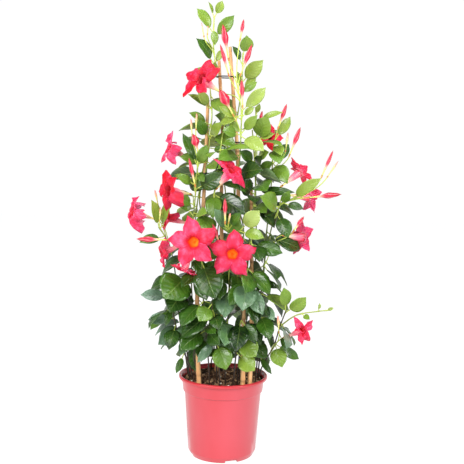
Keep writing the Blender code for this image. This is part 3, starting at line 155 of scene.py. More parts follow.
# Buds: stem, height of the stalk's root, foot of the bud, its tip, its widest radius.
BUDS = [
    ("vine_01", 752, (-47, -10, 786), (-52, -12, 812), 1.4), ("vine_01", 756, (-41, -12, 790), (-40, -14, 806), 1.2),
    ("vine_02", 690, (-1, -22, 744), (-13, -30, 807), 6.2), ("vine_02", 675, (0, -34, 715), (-17, -42, 770), 3.4),
    ("vine_02", 700, (19, -20, 780), (25, -20, 818), 3.4), ("vine_02", 682, (21, -28, 716), (41, -32, 772), 4.8),
    ("vine_02", 618, (26, -56, 657), (23, -60, 706), 4.2), ("vine_02", 606, (10, -56, 642), (-16, -66, 687), 8.8),
    ("vine_04", 545, (-51, -54, 571), (-62, -56, 608), 7.4), ("vine_04", 550, (-64, -48, 605), (-67, -47, 636), 2),
    ("vine_04", 555, (-57, -56, 615), (-56, -58, 645), 1.8), ("vine_04", 480, (-56, -70, 515), (-68, -74, 565), 3.6),
    ("vine_05", 395, (-102, -98, 420), (-157, -104, 421), 5), ("vine_05", 405, (-125, -40, 478), (-131, -43, 506), 2),
    ("vine_05", 420, (-118, -82, 452), (-116, -84, 478), 1.6), ("vine_07", 440, (-1, -98, 452), (-2, -104, 497), 3.8),
    ("vine_07", 436, (5, -96, 452), (8, -100, 470), 1.8), ("vine_07", 380, (-10, -92, 413), (-23, -98, 450), 3.8),
    ("vine_09", 488, (148, -45, 497), (211, -38, 504), 5.4), ("vine_09", 494, (172, -46, 535), (192, -46, 584), 3.2),
    ("vine_09", 490, (182, -50, 535), (201, -52, 565), 2), ("vine_09", 398, (122, -62, 436), (141, -62, 464), 4),
    ("vine_10", 590, (92, -24, 622), (107, -26, 667), 4), ("vine_10", 535, (106, -34, 580), (110, -36, 615), 2.4),
    ("vine_10", 530, (113, -38, 572), (132, -42, 625), 4.6), ("vine_16", 540, (58, 20, 628), (64, 18, 656), 3),
    ("vine_11", 208, (100, -82, 254), (97, -84, 287), 2.4),
]
# Stems. twine: cane, from and to which height, turns and first angle in degrees; onward: the route after it.
# rule: first and last share of the length that bears leaf pairs; spacing: distance between the pairs.
# leaves: single ones as (height of root, tip, roll in degrees, width ratio); a fifth number names a side shoot.
VINES = {
    "vine_01": dict(
        twine=("cane_left", 200, 530, 2.2, 200), rule=(0.18, 0.72), spacing=66,
        route=[(-43, -36, STEM_FOOT), (-47, -38, 165)],
        onward=[
            (-34, -26, 585), (-30, -14, 640), (-34, 2, 700), (-27, 0, 742), (-30, 0, 775), (-30, 0, 804),
            (-29, 0, 826),
        ],
        leaves=[
            (822, (-15, -2, 852), 25, 0.64), (822, (-40, 0, 850), 40, 0.36), (794, (-60, -4, 836), 28, 0.56),
            (784, (6, -12, 824), 25, 0.5), (738, (-60, -12, 781), 30, 0.6), (736, (-12, 6, 765), 35, 0.5),
            (808, (-27, -16, 771), 0, 0.46), (700, (-4, -16, 736), 15, 0.44), (655, (-70, -20, 678), 15, 0.42),
            (625, (-68, -26, 645), 10, 0.48), (680, (-9, -45, 648), 0, 0.5), (608, (-3, -65, 590), 0, 0.5),
            (600, (2, -52, 626), 0, 0.46), (602, (-57, -50, 630), 0, 0.6), (715, (-60, -12, 728), 10, 0.52),
            (560, (-74, -56, 566), 0, 0.5), (584, (1, -45, 578), 0, 0.5), (656, (-54, -35, 684), 0, 0.55),
            (244, (-39, -96, 203), 0, 0.44),
        ],
    ),
    "vine_02": dict(
        twine=("cane_right", 200, 555, 2.4, 150), rule=(0.2, 0.74), spacing=64,
        route=[(29, -46, STEM_FOOT), (27, -47, 165)],
        onward=[(24, -40, 600), (24, -42, 650), (18, -34, 685), (14, -30, 706)],
        leaves=[
            (650, (63, -36, 690), 22, 0.5), (610, (50, -62, 640), 15, 0.52), (644, (-12, -55, 626), 10, 0.5),
            (680, (49, -40, 702), 10, 0.5), (640, (45, -50, 656), 10, 0.56), (608, (-7, -62, 614), 0, 0.7),
            (606, (62, -70, 582), 0, 0.62), (572, (-32, -76, 563), 0, 0.42), (552, (-16, -76, 545), 0, 0.55),
            (536, (60, -72, 545), 0, 0.6), (636, (-17, -45, 655), 0, 0.55),
        ],
    ),
    "vine_03": dict(
        twine=("cane_back", 200, 540, 2.2, 30), rule=(0.2, 0.8), spacing=60,
        route=[(-20, 57, STEM_FOOT), (-24, 55, 165)],
        onward=[(2, 34, 595), (16, 18, 640), (23, 4, 690), (25, 3, 735), (25, 4, 760)],
        leaves=[
            (752, (31, -10, 789), 30, 0.86), (738, (6, -4, 770), 20, 0.5), (706, (60, -22, 743), 25, 0.56),
            (690, (48, -4, 716), 15, 0.54), (690, (6, 6, 724), 30, 0.5), (650, (4, -20, 672), 0, 0.56),
            (620, (-20, -36, 640), 0, 0.55),
        ],
    ),
    "vine_04": dict(
        rule=(0.34, 0.7), spacing=62,
        route=[
            (-60, -21, STEM_FOOT), (-66, -25, 180), (-74, -42, 270), (-71, -56, 340), (-62, -60, 420),
            (-56, -54, 500), (-53, -48, 556),
        ],
        leaves=[
            (550, (-79, -38, 603), 15, 0.34), (546, (-38, -66, 585), 20, 0.56), (515, (-92, -40, 532), 15, 0.46),
            (508, (-10, -72, 536), 15, 0.58), (460, (-89, -52, 492), 25, 0.6), (350, (-106, -106, 318), 0, 0.92),
            (322, (-96, -98, 292), 0, 0.8), (465, (-34, -94, 468), -10, 0.58), (540, (-41, -72, 524), 0, 0.55),
            (480, (-84, -80, 493), 0, 0.6), (516, (-85, -75, 532), 0, 0.5), (252, (-102, -84, 226), 0, 0.6),
        ],
    ),
    "vine_05": dict(
        rule=(0.34, 0.78), spacing=56,
        route=[
            (-63, 2, STEM_FOOT), (-71, -4, 180), (-88, -18, 290), (-94, -28, 360), (-104, -34, 405), (-122, -52, 438),
        ],
        leaves=[
            (436, (-123, -78, 487), 40, 0.4), (434, (-110, -86, 485), -40, 0.4), (420, (-138, -86, 412), 10, 0.42),
        ],
    ),
    "vine_06": dict(
        rule=(0.3, 0.92), spacing=54,
        route=[(-24, -52, STEM_FOOT), (-26, -60, 180), (-34, -72, 270), (-40, -76, 340), (-42, -72, 395)],
        leaves=[(378, (-34, -122, 322), 0, 0.72), (268, (1, -106, 258), 0, 0.5)],
    ),
    "vine_07": dict(
        rule=(0.3, 0.7), spacing=58,
        route=[
            (6, -50, STEM_FOOT), (4, -58, 180), (7, -66, 270), (8, -62, 340), (4, -56, 390), (4, -72, 425),
            (5, -86, 440),
        ],
        shoots=[[(4.2, -56.5, 386), (16, -66, 425), (28, -86, 440)]],
        leaves=[
            (436, (-20, -102, 475), 18, 0.5), (438, (26, -104, 470), -20, 0.44), (440, (58, -100, 474), 15, 0.66, 0),
            (436, (67, -106, 428), 0, 0.46, 0),
        ],
    ),
    "vine_08": dict(
        rule=(0.2, 0.98), spacing=48,
        route=[(21, -57, STEM_FOOT), (21, -67, 180), (29, -78, 260), (37, -84, 330), (42, -78, 385), (48, -66, 430)],
        leaves=[
            (350, (10, -106, 308), 0, 0.56), (345, (34, -122, 290), 0, 0.62), (340, (68, -106, 293), 0, 0.5),
            (412, (100, -90, 400), 5, 0.5), (242, (64, -100, 208), 0, 0.84), (214, (62, -94, 182), 0, 0.74),
            (276, (58, -102, 242), 0, 0.55),
        ],
    ),
    "vine_09": dict(
        rule=(0.24, 0.8), spacing=52,
        route=[
            (58, -29, STEM_FOOT), (63, -35, 180), (66, -46, 270), (68, -52, 340), (77, -48, 410), (88, -44, 455),
            (104, -42, 488), (140, -44, 496),
        ],
        shoots=[[(101, -42.5, 484), (140, -52, 506), (168, -48, 528)]],
        leaves=[
            (480, (112, -66, 508), 20, 0.5), (478, (72, -52, 486), 10, 0.5), (486, (138, -58, 477), 0, 0.46),
            (494, (172, -62, 530), 5, 0.32, 0), (466, (112, -76, 427), 0, 0.56), (476, (46, -75, 498), 0, 0.56),
            (416, (98, -80, 400), 0, 0.44), (204, (89, -58, 172), 0, 0.3), (300, (90, -88, 278), 0, 0.42),
            (282, (83, -96, 246), 0, 0.52), (344, (95, -70, 333), 0, 0.4),
        ],
    ),
    "vine_10": dict(
        rule=(0.2, 0.8), spacing=54,
        route=[
            (64, 3, STEM_FOOT), (70, -3, 200), (72, -10, 310), (75, -14, 410), (82, -18, 510), (84, -20, 570),
            (87, -21, 604),
        ],
        leaves=[
            (600, (112, -14, 640), 15, 0.46), (560, (119, -44, 526), 5, 0.58), (556, (112, 4, 590), 20, 0.5),
            (588, (94, -60, 560), 0, 0.68), (596, (108, -46, 574), 0, 0.6),
        ],
    ),
    "vine_11": dict(
        rule=(0.86, 0.92), spacing=50,
        route=[(60, -13, STEM_FOOT), (72, -20, 170), (94, -44, 222), (104, -54, 262), (114, -54, 290)],
        shoots=[[(103, -53.2, 259), (132, -64, 283), (172, -64, 291), (190, -64, 293)]],
        leaves=[
            (287, (110, -58, 332), 25, 0.6), (284, (148, -60, 315), 25, 0.6), (285, (154, -84, 280), 5, 0.52, 0),
            (292.5, (200, -66, 299), 10, 0.46, 0), (291, (173, -66, 306), 30, 0.46, 0),
            (225, (140, -34, 195), 0, 0.36), (226, (108, -76, 188), 0, 0.66), (248, (119, -66, 214), 0, 0.3),
        ],
    ),
    "vine_12": dict(
        rule=(0.9, 0.95), spacing=50,
        route=[(-52, -30, STEM_FOOT), (-59, -43, 170), (-78, -66, 225), (-90, -68, 272), (-98, -62, 316)],
        leaves=[
            (314, (-149, -76, 317), 5, 0.46), (296, (-104, -88, 264), 0, 0.36), (274, (-136, -68, 270), 0, 0.52),
            (262, (-96, -106, 226), 0, 0.58), (208, (-84, -84, 177), 0, 0.36),
        ],
    ),
    "vine_13": dict(
        rule=(0.22, 0.98), spacing=58,
        route=[
            (-10, -42, STEM_FOOT), (-12, -48, 180), (-14, -58, 260), (-16, -62, 340), (-22, -60, 420),
            (-22, -56, 500), (-12, -50, 585), (-4, -42, 645),
        ],
        leaves=[
            (640, (24, -60, 623), 0, 0.58), (532, (-42, -86, 508), 0, 0.56), (504, (-37, -90, 463), 0, 0.56),
            (500, (30, -86, 470), 0, 0.58),
        ],
    ),
    "vine_14": dict(
        rule=(0.18, 1.0), spacing=66,
        route=[(-45, 36, STEM_FOOT), (-56, 44, 200), (-66, 50, 330), (-60, 44, 450), (-44, 34, 560), (-34, 24, 630)],
    ),
    "vine_15": dict(
        rule=(0.18, 1.0), spacing=68,
        route=[(10, 56, STEM_FOOT), (6, 68, 200), (10, 74, 330), (14, 64, 450), (18, 46, 560), (14, 36, 650)],
    ),
    "vine_16": dict(
        rule=(0.18, 1.0), spacing=66,
        route=[(48, 36, STEM_FOOT), (55, 44, 200), (58, 48, 330), (58, 42, 450), (52, 34, 555), (46, 24, 620)],
    ),
    "vine_17": dict(
        rule=(0.9, 1.0), spacing=50,
        route=[(-4, -62, STEM_FOOT), (-6, -72, 170), (-10, -82, 215), (-18, -90, 270), (-22, -92, 310)],
        leaves=[
            (306, (-43, -122, 281), 0, 0.8), (296, (-6, -112, 264), 5, 0.5), (236, (10, -108, 180), 0, 0.72),
            (240, (-44, -108, 204), 0, 0.36), (262, (14, -106, 232), 0, 0.56),
        ],
    ),
    "vine_18": dict(
        rule=(0.46, 0.98), spacing=58,
        route=[
            (30, -26, STEM_FOOT), (32, -24, 180), (36, -24, 300), (44, -36, 420), (52, -34, 500), (54, -28, 580),
            (50, -20, 660),
        ],
        leaves=[
            (598, (70, -58, 638), 0, 0.74), (636, (95, -40, 649), 0, 0.3), (600, (84, -50, 611), 0, 0.4),
            (564, (73, -62, 577), 0, 0.55), (548, (78, -70, 568), 0, 0.52), (520, (70, -82, 510), 0, 0.8),
            (480, (70, -86, 471), 0, 0.6), (500, (104, -72, 487), 0, 0.56), (508, (116, -60, 507), 0, 0.26),
            (644, (57, -26, 664), 0, 0.56), (568, (75, -55, 575), 0, 0.5), (556, (25, -55, 577), 0, 0.58),
            (540, (80, -50, 559), 0, 0.56), (500, (36, -68, 522), 0, 0.85), (456, (38, -70, 449), 0, 0.6),
        ],
    ),
}


# ================================================================ lines and leaves, as in the solids
def as_mesh(name, shape):
    """A bmesh, freed as it becomes a mesh."""
    mesh = bpy.data.meshes.new(name)
    shape.to_mesh(mesh)
    shape.free()
    return mesh


def linked(name, data):
    """A new object in the scene."""
    made = bpy.data.objects.new(name, data)
    bpy.context.scene.collection.objects.link(made)
    return made


def evaluated_mesh(obj):
    depsgraph = bpy.context.evaluated_depsgraph_get()
    return bpy.data.meshes.new_from_object(obj.evaluated_get(depsgraph))


def metres(values):
    """A length in millimetres, or a row or a list of them, in metres."""
    if isinstance(values, (tuple, list)):
        return [metres(value) for value in values]
    return values / 1000


def curve_point(before, start, end, after, t):
    """A point of the Catmull-Rom curve from start to end."""
    cubic = (3 * start - before - 3 * end + after) * t**3
    square = (2 * before - 5 * start + 4 * end - after) * t**2
    return (2 * start + (end - before) * t + square + cubic) / 2


def smooth_route(points, step):
    """A Catmull-Rom curve through the points, sampled about every step."""
    points = [Vector(point) for point in points]
    route = [points[0]]
    for i in range(len(points) - 1):
        four = points[max(i - 1, 0)], points[i], points[i + 1], points[min(i + 2, len(points) - 1)]
        count = max(1, round((points[i + 1] - points[i]).length / step))
        route += [curve_point(*four, k / count) for k in range(1, count + 1)]
    return route


def at_height(route, height):
    """The first point of the route at this height and its direction, a little short of the route's end."""
    for start, end in zip(route, route[1:]):
        if start.z <= height <= end.z:
            share = (height - start.z) / max(end.z - start.z, 1e-9)
            point = start.lerp(end, share)
            if (point - route[-1]).length > END_INSET:
                return point, (end - start).normalized()
    way = (route[-1] - route[-2]).normalized()
    return route[-1] - way * END_INSET, way


def tube_mesh(name, route, radii, sides):
    """A round bar along the route, as a bevelled curve made into a closed mesh."""
    curve = bpy.data.curves.new(name, "CURVE")
    curve.dimensions = "3D"
    curve.bevel_depth = 1.0
    curve.bevel_resolution = (sides - 4) // 2
    curve.use_fill_caps = True
    spline = curve.splines.new("POLY")
    spline.points.add(len(route) - 1)
    for point, position, radius in zip(spline.points, route, radii):
        point.co = (*position, 1.0)
        point.radius = radius
    holder = linked(name, curve)
    mesh = evaluated_mesh(holder)
    bpy.data.objects.remove(holder, do_unlink=True)
    bpy.data.curves.remove(curve)
    shape = bmesh.new()
    shape.from_mesh(mesh)
    bmesh.ops.remove_doubles(shape, verts=shape.verts, dist=1e-6)
    bmesh.ops.triangulate(shape, faces=shape.faces)
    bmesh.ops.recalc_face_normals(shape, faces=shape.faces)
    shape.to_mesh(mesh)
    shape.free()
    return mesh


def graded(first, last, count):
    return [first + (last - first) * i / max(count - 1, 1) for i in range(count)]


def cane_at(canes, name, height):
    """Centre and radius of a cane at a height."""
    route = canes[name]
    point, _ = at_height(route, height)
    share = (height - route[0].z) / (route[-1].z - route[0].z)
    return point, CANE_FOOT_RADIUS + (CANE_TOP_RADIUS - CANE_FOOT_RADIUS) * share


def twining_route(canes, cane_name, low, high, turns, start_angle):
    """A helix round a cane, between two heights in millimetres."""
    low, high = metres((low, high))
    count = round(turns * TWINE_STEPS)
    route = []
    for i in range(count + 1):
        share = i / count
        height = low + (high - low) * share
        centre, radius = cane_at(canes, cane_name, height)
        reach = radius + STEM_FOOT_RADIUS + TWINE_ROOM
        angle = math.radians(start_angle) + turns * math.tau * share
        route.append(centre + Vector((math.cos(angle), math.sin(angle), 0.0)) * reach)
    return route


def main_route(vine, canes):
    """A stem's route: from the soil, round its cane where it twines, and onward."""
    plan = metres(vine["route"])
    route = smooth_route(plan, STEM_STEP)
    if "twine" in vine:
        coil = twining_route(canes, *vine["twine"])
        lead = smooth_route([plan[-2], plan[-1], coil[0], coil[1]], STEM_STEP)
        first = next(i for i, point in enumerate(lead) if point.z >= plan[-1][2] + 1e-6)
        lead = [point for point in lead[first:] if point.z < coil[0].z - 1e-6]
        leave = smooth_route([coil[-1]] + metres(vine["onward"]), STEM_STEP)
        route = route + lead + coil + leave[1:]
    return route


def stalk_route(stem, height, end, end_way):
    """A smooth stalk from a stem, at a height, to the foot of a bud or a bloom."""
    start, along = at_height(stem, height)
    reach = (end - start).length * 0.4
    first = start + (along + end_way * 0.6).normalized() * reach
    second = end - end_way * reach
    route = []
    for i in range(STALK_STEPS + 1):
        t = i / STALK_STEPS
        point = start * (1 - t) ** 3 + first * (3 * t * (1 - t) ** 2)
        route.append(point + second * (3 * t * t * (1 - t)) + end * t**3)
    return route[:-1] + [end - end_way * 0.004, end]


def habit(height):
    """Pitch, length and width ratio of a leaf at this height."""
    rows = LEAF_HABIT
    if height <= rows[0][0]:
        return rows[0][1:]
    for low, high in zip(rows, rows[1:]):
        if height <= high[0]:
            share = (height - low[0]) / (high[0] - low[0])
            return tuple(a + (b - a) * share for a, b in zip(low[1:], high[1:]))
    return rows[-1][1:]


def outward_from_axis(point):
    way = Vector((point.x - PLANT_AXIS.x, point.y - PLANT_AXIS.y, 0.0))
    return way.normalized() if way.length > 1e-6 else Vector((0.0, -1.0, 0.0))


def make_leaf(root, tip, hint, roll, ratio, owner):
    """A leaf from its root in the stem to its tip: the blade arches away from its upper face."""
    chord = tip - root
    petiole = min(PETIOLE_LENGTH, chord.length * 0.28)
    way = chord.normalized()
    base = root + way * petiole
    plain = hint is None
    if plain:
        flat = Vector((way.x, way.y, 0.0)).normalized()
        outward = outward_from_axis(tip)
        hint = Vector((0.0, 0.0, 1.0)) + (outward - flat * outward.dot(flat)) * 1.6 - flat * way.z * 1.4
    face = (hint - way * hint.dot(way)).normalized()
    face = Matrix.Rotation(math.radians(roll), 3, way) @ face
    axis = (way * math.cos(BLADE_DROOP / 2) + face * math.sin(BLADE_DROOP / 2)).normalized()
    face = (face - axis * face.dot(axis)).normalized()
    length = (tip - base).length * (BLADE_DROOP / 2) / math.sin(BLADE_DROOP / 2)
    return dict(
        root=root, base=base, axis=axis, face=face, length=length, width=length * ratio, plain=plain, owner=owner)


def midrib_point(leaf, share):
    """The point of the midrib at a share of its length, and the upward normal there."""
    angle = BLADE_DROOP * share
    centre = leaf["base"] + leaf["axis"] * (leaf["length"] * math.sin(angle) / BLADE_DROOP)
    centre = centre - leaf["face"] * (leaf["length"] * (1 - math.cos(angle)) / BLADE_DROOP)
    return centre, leaf["face"] * math.cos(angle) + leaf["axis"] * math.sin(angle)


def place_leaf(root, tip, hint, roll, ratio, owner, placed):
    """Bends the leaf as its solid is bent: the first bend that ends in a corner of its stem's solid.

    A leaf with no such corner found no room among the solids, and is left out here too."""
    chord = tip - root
    azimuth = math.atan2(chord.y, chord.x)
    pitch = math.atan2(chord.z, math.hypot(chord.x, chord.y))
    for turn, tilt, scale in BENDS:
        new_azimuth = azimuth + math.radians(turn)
        new_pitch = max(-STEEPEST, min(STEEPEST, pitch + math.radians(tilt)))
        way = Vector((
            math.cos(new_azimuth) * math.cos(new_pitch), math.sin(new_azimuth) * math.cos(new_pitch),
            math.sin(new_pitch)))
        end = root + way * (chord.length * scale)
        if any((vertex.co - end).length < TIP_MATCH for vertex in frame["nodes"][owner].data.vertices):
            placed.append(make_leaf(root, end, hint, roll, ratio, owner))
            return


def single_leaves(stems, shoots, placed):
    for name, vine in VINES.items():
        for height, tip, roll, ratio, *shoot in vine.get("leaves", []):
            route = shoots[name][shoot[0]] if shoot else stems[name]
            root, _ = at_height(route, metres(height))
            place_leaf(root, Vector(metres(tip)), FRONT, roll, ratio, name, placed)


def rule_leaves(stems, placed):
    """Opposite pairs, each pair turned a quarter from the last, aimed outward and pitched by height."""
    chance = random.Random(21)
    for name, vine in VINES.items():
        route = stems[name]
        lengths = [0.0]
        for start, end in zip(route, route[1:]):
            lengths.append(lengths[-1] + (end - start).length)
        reach, last = (share * lengths[-1] for share in vine["rule"])
        quarter = chance.randrange(2)
        while reach <= last:
            k = max(i for i, value in enumerate(lengths[:-1]) if value <= reach)
            root = route[k].lerp(route[k + 1], (reach - lengths[k]) / (lengths[k + 1] - lengths[k]))
            along = (route[k + 1] - route[k]).normalized()
            across = along.orthogonal().normalized()
            for half in (0, 1):
                angle = quarter * math.pi / 2 + half * math.pi + chance.uniform(-0.35, 0.35)
                way = Matrix.Rotation(angle, 3, along) @ across
                flat = (Vector((way.x, way.y, 0.0)) + outward_from_axis(root) * 0.60).normalized()
                pitch, length, ratio = habit(root.z)
                pitch = math.radians(pitch + chance.uniform(-14, 14))
                length = (length + PETIOLE_LENGTH) * chance.uniform(0.86, 1.12)
                roll = chance.uniform(-28, 28)
                ratio = ratio * chance.uniform(0.92, 1.08)
                tip = root + (flat * math.cos(pitch) + Vector((0, 0, math.sin(pitch)))) * length
                place_leaf(root, tip, None, roll, ratio, name, placed)
            reach += metres(vine["spacing"])
            quarter += 1


def bloom_frame(facing, turn):
    """The bloom's axis and two directions across it, the first turned from upright."""
    axis = Vector(facing).normalized()
    right = -axis.cross(Vector((0.0, 0.0, 1.0))).normalized()
    above = -right.cross(axis).normalized()
    if above.z < 0:
        above = -above
    angle = math.radians(turn)
    first = right * math.cos(angle) + above * math.sin(angle)
    return axis, first, above * math.cos(angle) - right * math.sin(angle)


# ================================================================ meshes
def graded_smooth(low, high, value):
    """0 below low, 1 above high, and a smooth rise between them."""
    share = min(1.0, max(0.0, (value - low) / (high - low)))
    return share * share * (3 - 2 * share)


def along_line(stops, value):
    """The value of a line through (place, value) stops, rounded between them."""
    if value <= stops[0][0]:
        return stops[0][1]
    for (a, low), (b, high) in zip(stops, stops[1:]):
        if value <= b:
            return low + (high - low) * graded_smooth(a, b, value)
    return stops[-1][1]


def finished(name, shape, materials, node, smooth=True):
    """A piece from a bmesh, in the row frame, that rides on the plant's one body and stands for a node."""
    mesh = as_mesh(name, shape)
    for material in materials:
        mesh.materials.append(material)
    if smooth:
        mesh.shade_smooth()
    piece = linked(name, mesh)
    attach(piece, "root")
    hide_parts(node)
    return piece


def append_mesh(shape, mesh):
    """Adds a mesh to a bmesh and gives back its new vertices and faces."""
    verts = len(shape.verts)
    faces = len(shape.faces)
    shape.from_mesh(mesh)
    shape.verts.ensure_lookup_table()
    shape.faces.ensure_lookup_table()
    return shape.verts[verts:], shape.faces[faces:]


def grid_mesh(name, across, along, thickness=0.0):
    """A flat sheet 1 x 1 of squares with a UV map. With a thickness it is a closed plate, slot 1 below."""
    shape = bmesh.new()
    shape.loops.layers.uv.new("blade")
    bmesh.ops.create_grid(shape, x_segments=across, y_segments=along, size=0.5, calc_uvs=True)
    bmesh.ops.translate(shape, verts=shape.verts, vec=(0.5, 0.5, 0.0))
    if thickness:
        bmesh.ops.solidify(shape, geom=shape.faces, thickness=thickness)
        bmesh.ops.recalc_face_normals(shape, faces=shape.faces)
        shape.normal_update()
        top = max(vert.co.z for vert in shape.verts)
        bmesh.ops.translate(shape, verts=shape.verts, vec=(0.0, 0.0, -top))
        for face in shape.faces:
            face.material_index = 1 if face.normal.z < -0.5 else 0
    return as_mesh(name, shape)


# ================================================================ finishes
class Finish:
    """A Principled material, put together from nodes."""

    def __init__(self, name, colour, roughness, **sockets):
        self.material = bpy.data.materials.new(name)
        self.material.use_nodes = True
        self.tree = self.material.node_tree
        self.shader = self.tree.nodes["Principled BSDF"]
        self.shader.inputs["Base Color"].default_value = (*colour, 1.0)
        self.shader.inputs["Roughness"].default_value = roughness
        for socket, value in sockets.items():
            self.shader.inputs[socket.replace("_", " ")].default_value = value

    def node(self, kind, inputs=None, **settings):
        node = self.tree.nodes.new("ShaderNode" + kind)
        for key, value in settings.items():
            setattr(node, key, value)
        for key, value in (inputs or {}).items():
            socket = node.inputs[key]
            if isinstance(value, bpy.types.NodeSocket):
                self.tree.links.new(value, socket)
            elif isinstance(value, tuple) and len(value) == 3 and socket.type == "RGBA":
                socket.default_value = (*value, 1.0)
            else:
                socket.default_value = value
        return node

    def place(self, scale=(1.0, 1.0, 1.0)):
        """Object coordinates, stretched."""
        coordinates = self.node("TexCoord").outputs["Object"]
        return self.node("Mapping", {"Vector": coordinates, "Scale": scale}).outputs["Vector"]

    def coordinate(self, axis):
        """One of the Object coordinates."""
        return self.node("SeparateXYZ", {"Vector": self.place()}).outputs[axis]

    def noise(self, scale, detail=3.0, stretch=(1.0, 1.0, 1.0)):
        inputs = {"Vector": self.place(stretch), "Scale": scale, "Detail": detail, "Roughness": 0.55}
        return self.node("TexNoise", inputs).outputs["Fac"]

    def streaks(self, across, along, count, scale, detail=4.0):
        """Fine streaks that run along a petal or a trumpet."""
        spot = self.node("CombineXYZ", {0: self.times(across, count), 1: along}).outputs[0]
        return self.node("TexNoise", {"Vector": spot, "Scale": scale, "Detail": detail}).outputs["Fac"]

    def math(self, operation, first, second=0.0, clamp=False):
        return self.node("Math", {0: first, 1: second}, operation=operation, use_clamp=clamp).outputs[0]

    def times(self, first, second):
        return self.math("MULTIPLY", first, second)

    def range(self, value, low, high, to_low=0.0, to_high=1.0):
        inputs = {"Value": value, "From Min": low, "From Max": high, "To Min": to_low, "To Max": to_high}
        return self.node("MapRange", inputs, interpolation_type="SMOOTHSTEP").outputs["Result"]

    def mix(self, share, first, second):
        """A colour between two. Of the node's inputs and outputs these are the ones for colours."""
        return self.node("Mix", {"Factor": share, 6: first, 7: second}, data_type="RGBA").outputs[2]

    def ramp(self, value, stops):
        node = self.node("ValToRGB", {"Fac": value})
        ramp = node.color_ramp
        while len(ramp.elements) < len(stops):
            ramp.elements.new(0.5)
        for element, (place, colour) in zip(ramp.elements, stops):
            element.position = place
            element.color = (*colour, 1.0)
        return node.outputs["Color"]

    def attribute(self, name):
        return self.node("Attribute", attribute_name=name).outputs["Fac"]

    def uv(self):
        """The piece's own map: across, along."""
        coordinates = self.node("UVMap", uv_map="blade").outputs["UV"]
        parts = self.node("SeparateXYZ", {"Vector": coordinates})
        return parts.outputs["X"], parts.outputs["Y"]

    def colour(self, output):
        self.tree.links.new(output, self.shader.inputs["Base Color"])

    def roughness(self, output):
        self.tree.links.new(output, self.shader.inputs["Roughness"])

    def bump(self, height, distance, strength=1.0, under=None):
        under = {} if under is None else {"Normal": under}
        node = self.node("Bump", {"Height": height, "Distance": distance, "Strength": strength, **under})
        self.tree.links.new(node.outputs["Normal"], self.shader.inputs["Normal"])
        return node.outputs["Normal"]


def tint(red, green, blue):
    """A colour in display values of 0 to 255, as the shader wants it."""
    return tuple(((v / 255 + 0.055) / 1.055) ** 2.4 if v > 10 else v / 255 / 12.92 for v in (red, green, blue))


def pot_plastic():
    """Coral red, a little cloudy, a deeper rim, and a painted whitish reflection at both sides of the foot."""
    finish = Finish(
        "pot_plastic", tint(222, 68, 78), 0.34, Specular_IOR_Level=0.5, Coat_Weight=0.45, Coat_Roughness=0.14)
    clouds = finish.noise(9.0, 3.0, (1.0, 1.0, 0.45))
    height = finish.coordinate("Z")
    foot = finish.range(height, 0.060, 0.006)
    rim = finish.range(height, POT_HEIGHT - 0.0105, POT_HEIGHT - 0.0055)
    body = finish.mix(finish.range(clouds, 0.35, 0.70), tint(190, 53, 63), tint(197, 67, 79))
    deeper = finish.mix(finish.times(foot, 0.45), body, tint(196, 52, 62))
    # Painted reflection: the left and right sides of the foot, as seen from the front, are mixed towards a whitish
    # pink and broken up by noise.
    sides = finish.range(finish.math("ABSOLUTE", finish.coordinate("X")), 0.053, 0.060)
    wear_and_glare = finish.times(finish.range(finish.noise(60.0, 3.0, (1.0, 1.0, 0.3)), 0.42, 0.56), foot)
    wear_and_glare = finish.times(finish.times(wear_and_glare, sides), 0.45)
    deeper = finish.mix(wear_and_glare, deeper, tint(216, 170, 174))
    finish.colour(finish.mix(finish.times(rim, 0.75), deeper, tint(186, 30, 40)))
    scuffs = finish.noise(55.0, 4.0, (1.0, 1.0, 0.15))
    finish.roughness(finish.range(scuffs, 0.3, 0.75, 0.28, 0.42))
    finish.bump(finish.noise(420.0, 2.0), 0.00006, 0.35)
    return finish.material


def potting_mix():
    finish = Finish("potting_mix", tint(58, 40, 30), 0.95, Specular_IOR_Level=0.2)
    grains = finish.noise(420.0, 5.0)
    clods = finish.noise(90.0, 4.0)
    dark = finish.mix(finish.range(clods, 0.35, 0.65), tint(22, 13, 9), tint(54, 36, 26))
    finish.colour(finish.mix(finish.range(grains, 0.56, 0.70), dark, tint(96, 68, 48)))
    under = finish.bump(clods, 0.0016, 0.8)
    finish.bump(grains, 0.0007, 0.9, under)
    return finish.material


def bark_chip():
    finish = Finish("bark_chip", tint(128, 92, 64), 0.85, Specular_IOR_Level=0.25)
    fibre = finish.noise(300.0, 4.0, (1.0, 0.3, 1.0))
    wear_and_glare = finish.mix(finish.attribute("shade"), tint(60, 36, 24), tint(206, 166, 128))
    finish.colour(finish.mix(finish.range(fibre, 0.45, 0.7), wear_and_glare, tint(92, 62, 42)))
    finish.bump(fibre, 0.0004, 0.7)
    return finish.material


def perlite():
    finish = Finish("perlite", tint(226, 224, 212), 0.9)
    finish.bump(finish.noise(900.0, 3.0), 0.0002, 0.6)
    return finish.material


def bamboo():
    finish = Finish("bamboo", tint(205, 150, 92), 0.46, Specular_IOR_Level=0.4)
    fibre = finish.noise(260.0, 4.0, (1.0, 1.0, 0.03))
    blotch = finish.noise(22.0, 4.0, (1.0, 1.0, 0.5))
    band = finish.attribute("band")
    skin = finish.mix(finish.range(fibre, 0.30, 0.72), tint(198, 142, 88), tint(228, 184, 132))
    skin = finish.mix(finish.range(blotch, 0.50, 0.78), skin, tint(162, 96, 50))
    skin = finish.mix(finish.times(finish.range(blotch, 0.45, 0.20), 0.6), skin, tint(232, 190, 132))
    finish.colour(finish.mix(finish.times(band, 0.75), skin, tint(126, 76, 42)))
    finish.roughness(finish.range(fibre, 0.3, 0.7, 0.38, 0.58))
    finish.bump(fibre, 0.00025, 0.5)
    return finish.material


def cane_pith():
    finish = Finish("cane_pith", tint(216, 190, 146), 0.85)
    finish.colour(finish.mix(finish.noise(700.0, 3.0), tint(196, 160, 112), tint(230, 208, 166)))
    return finish.material


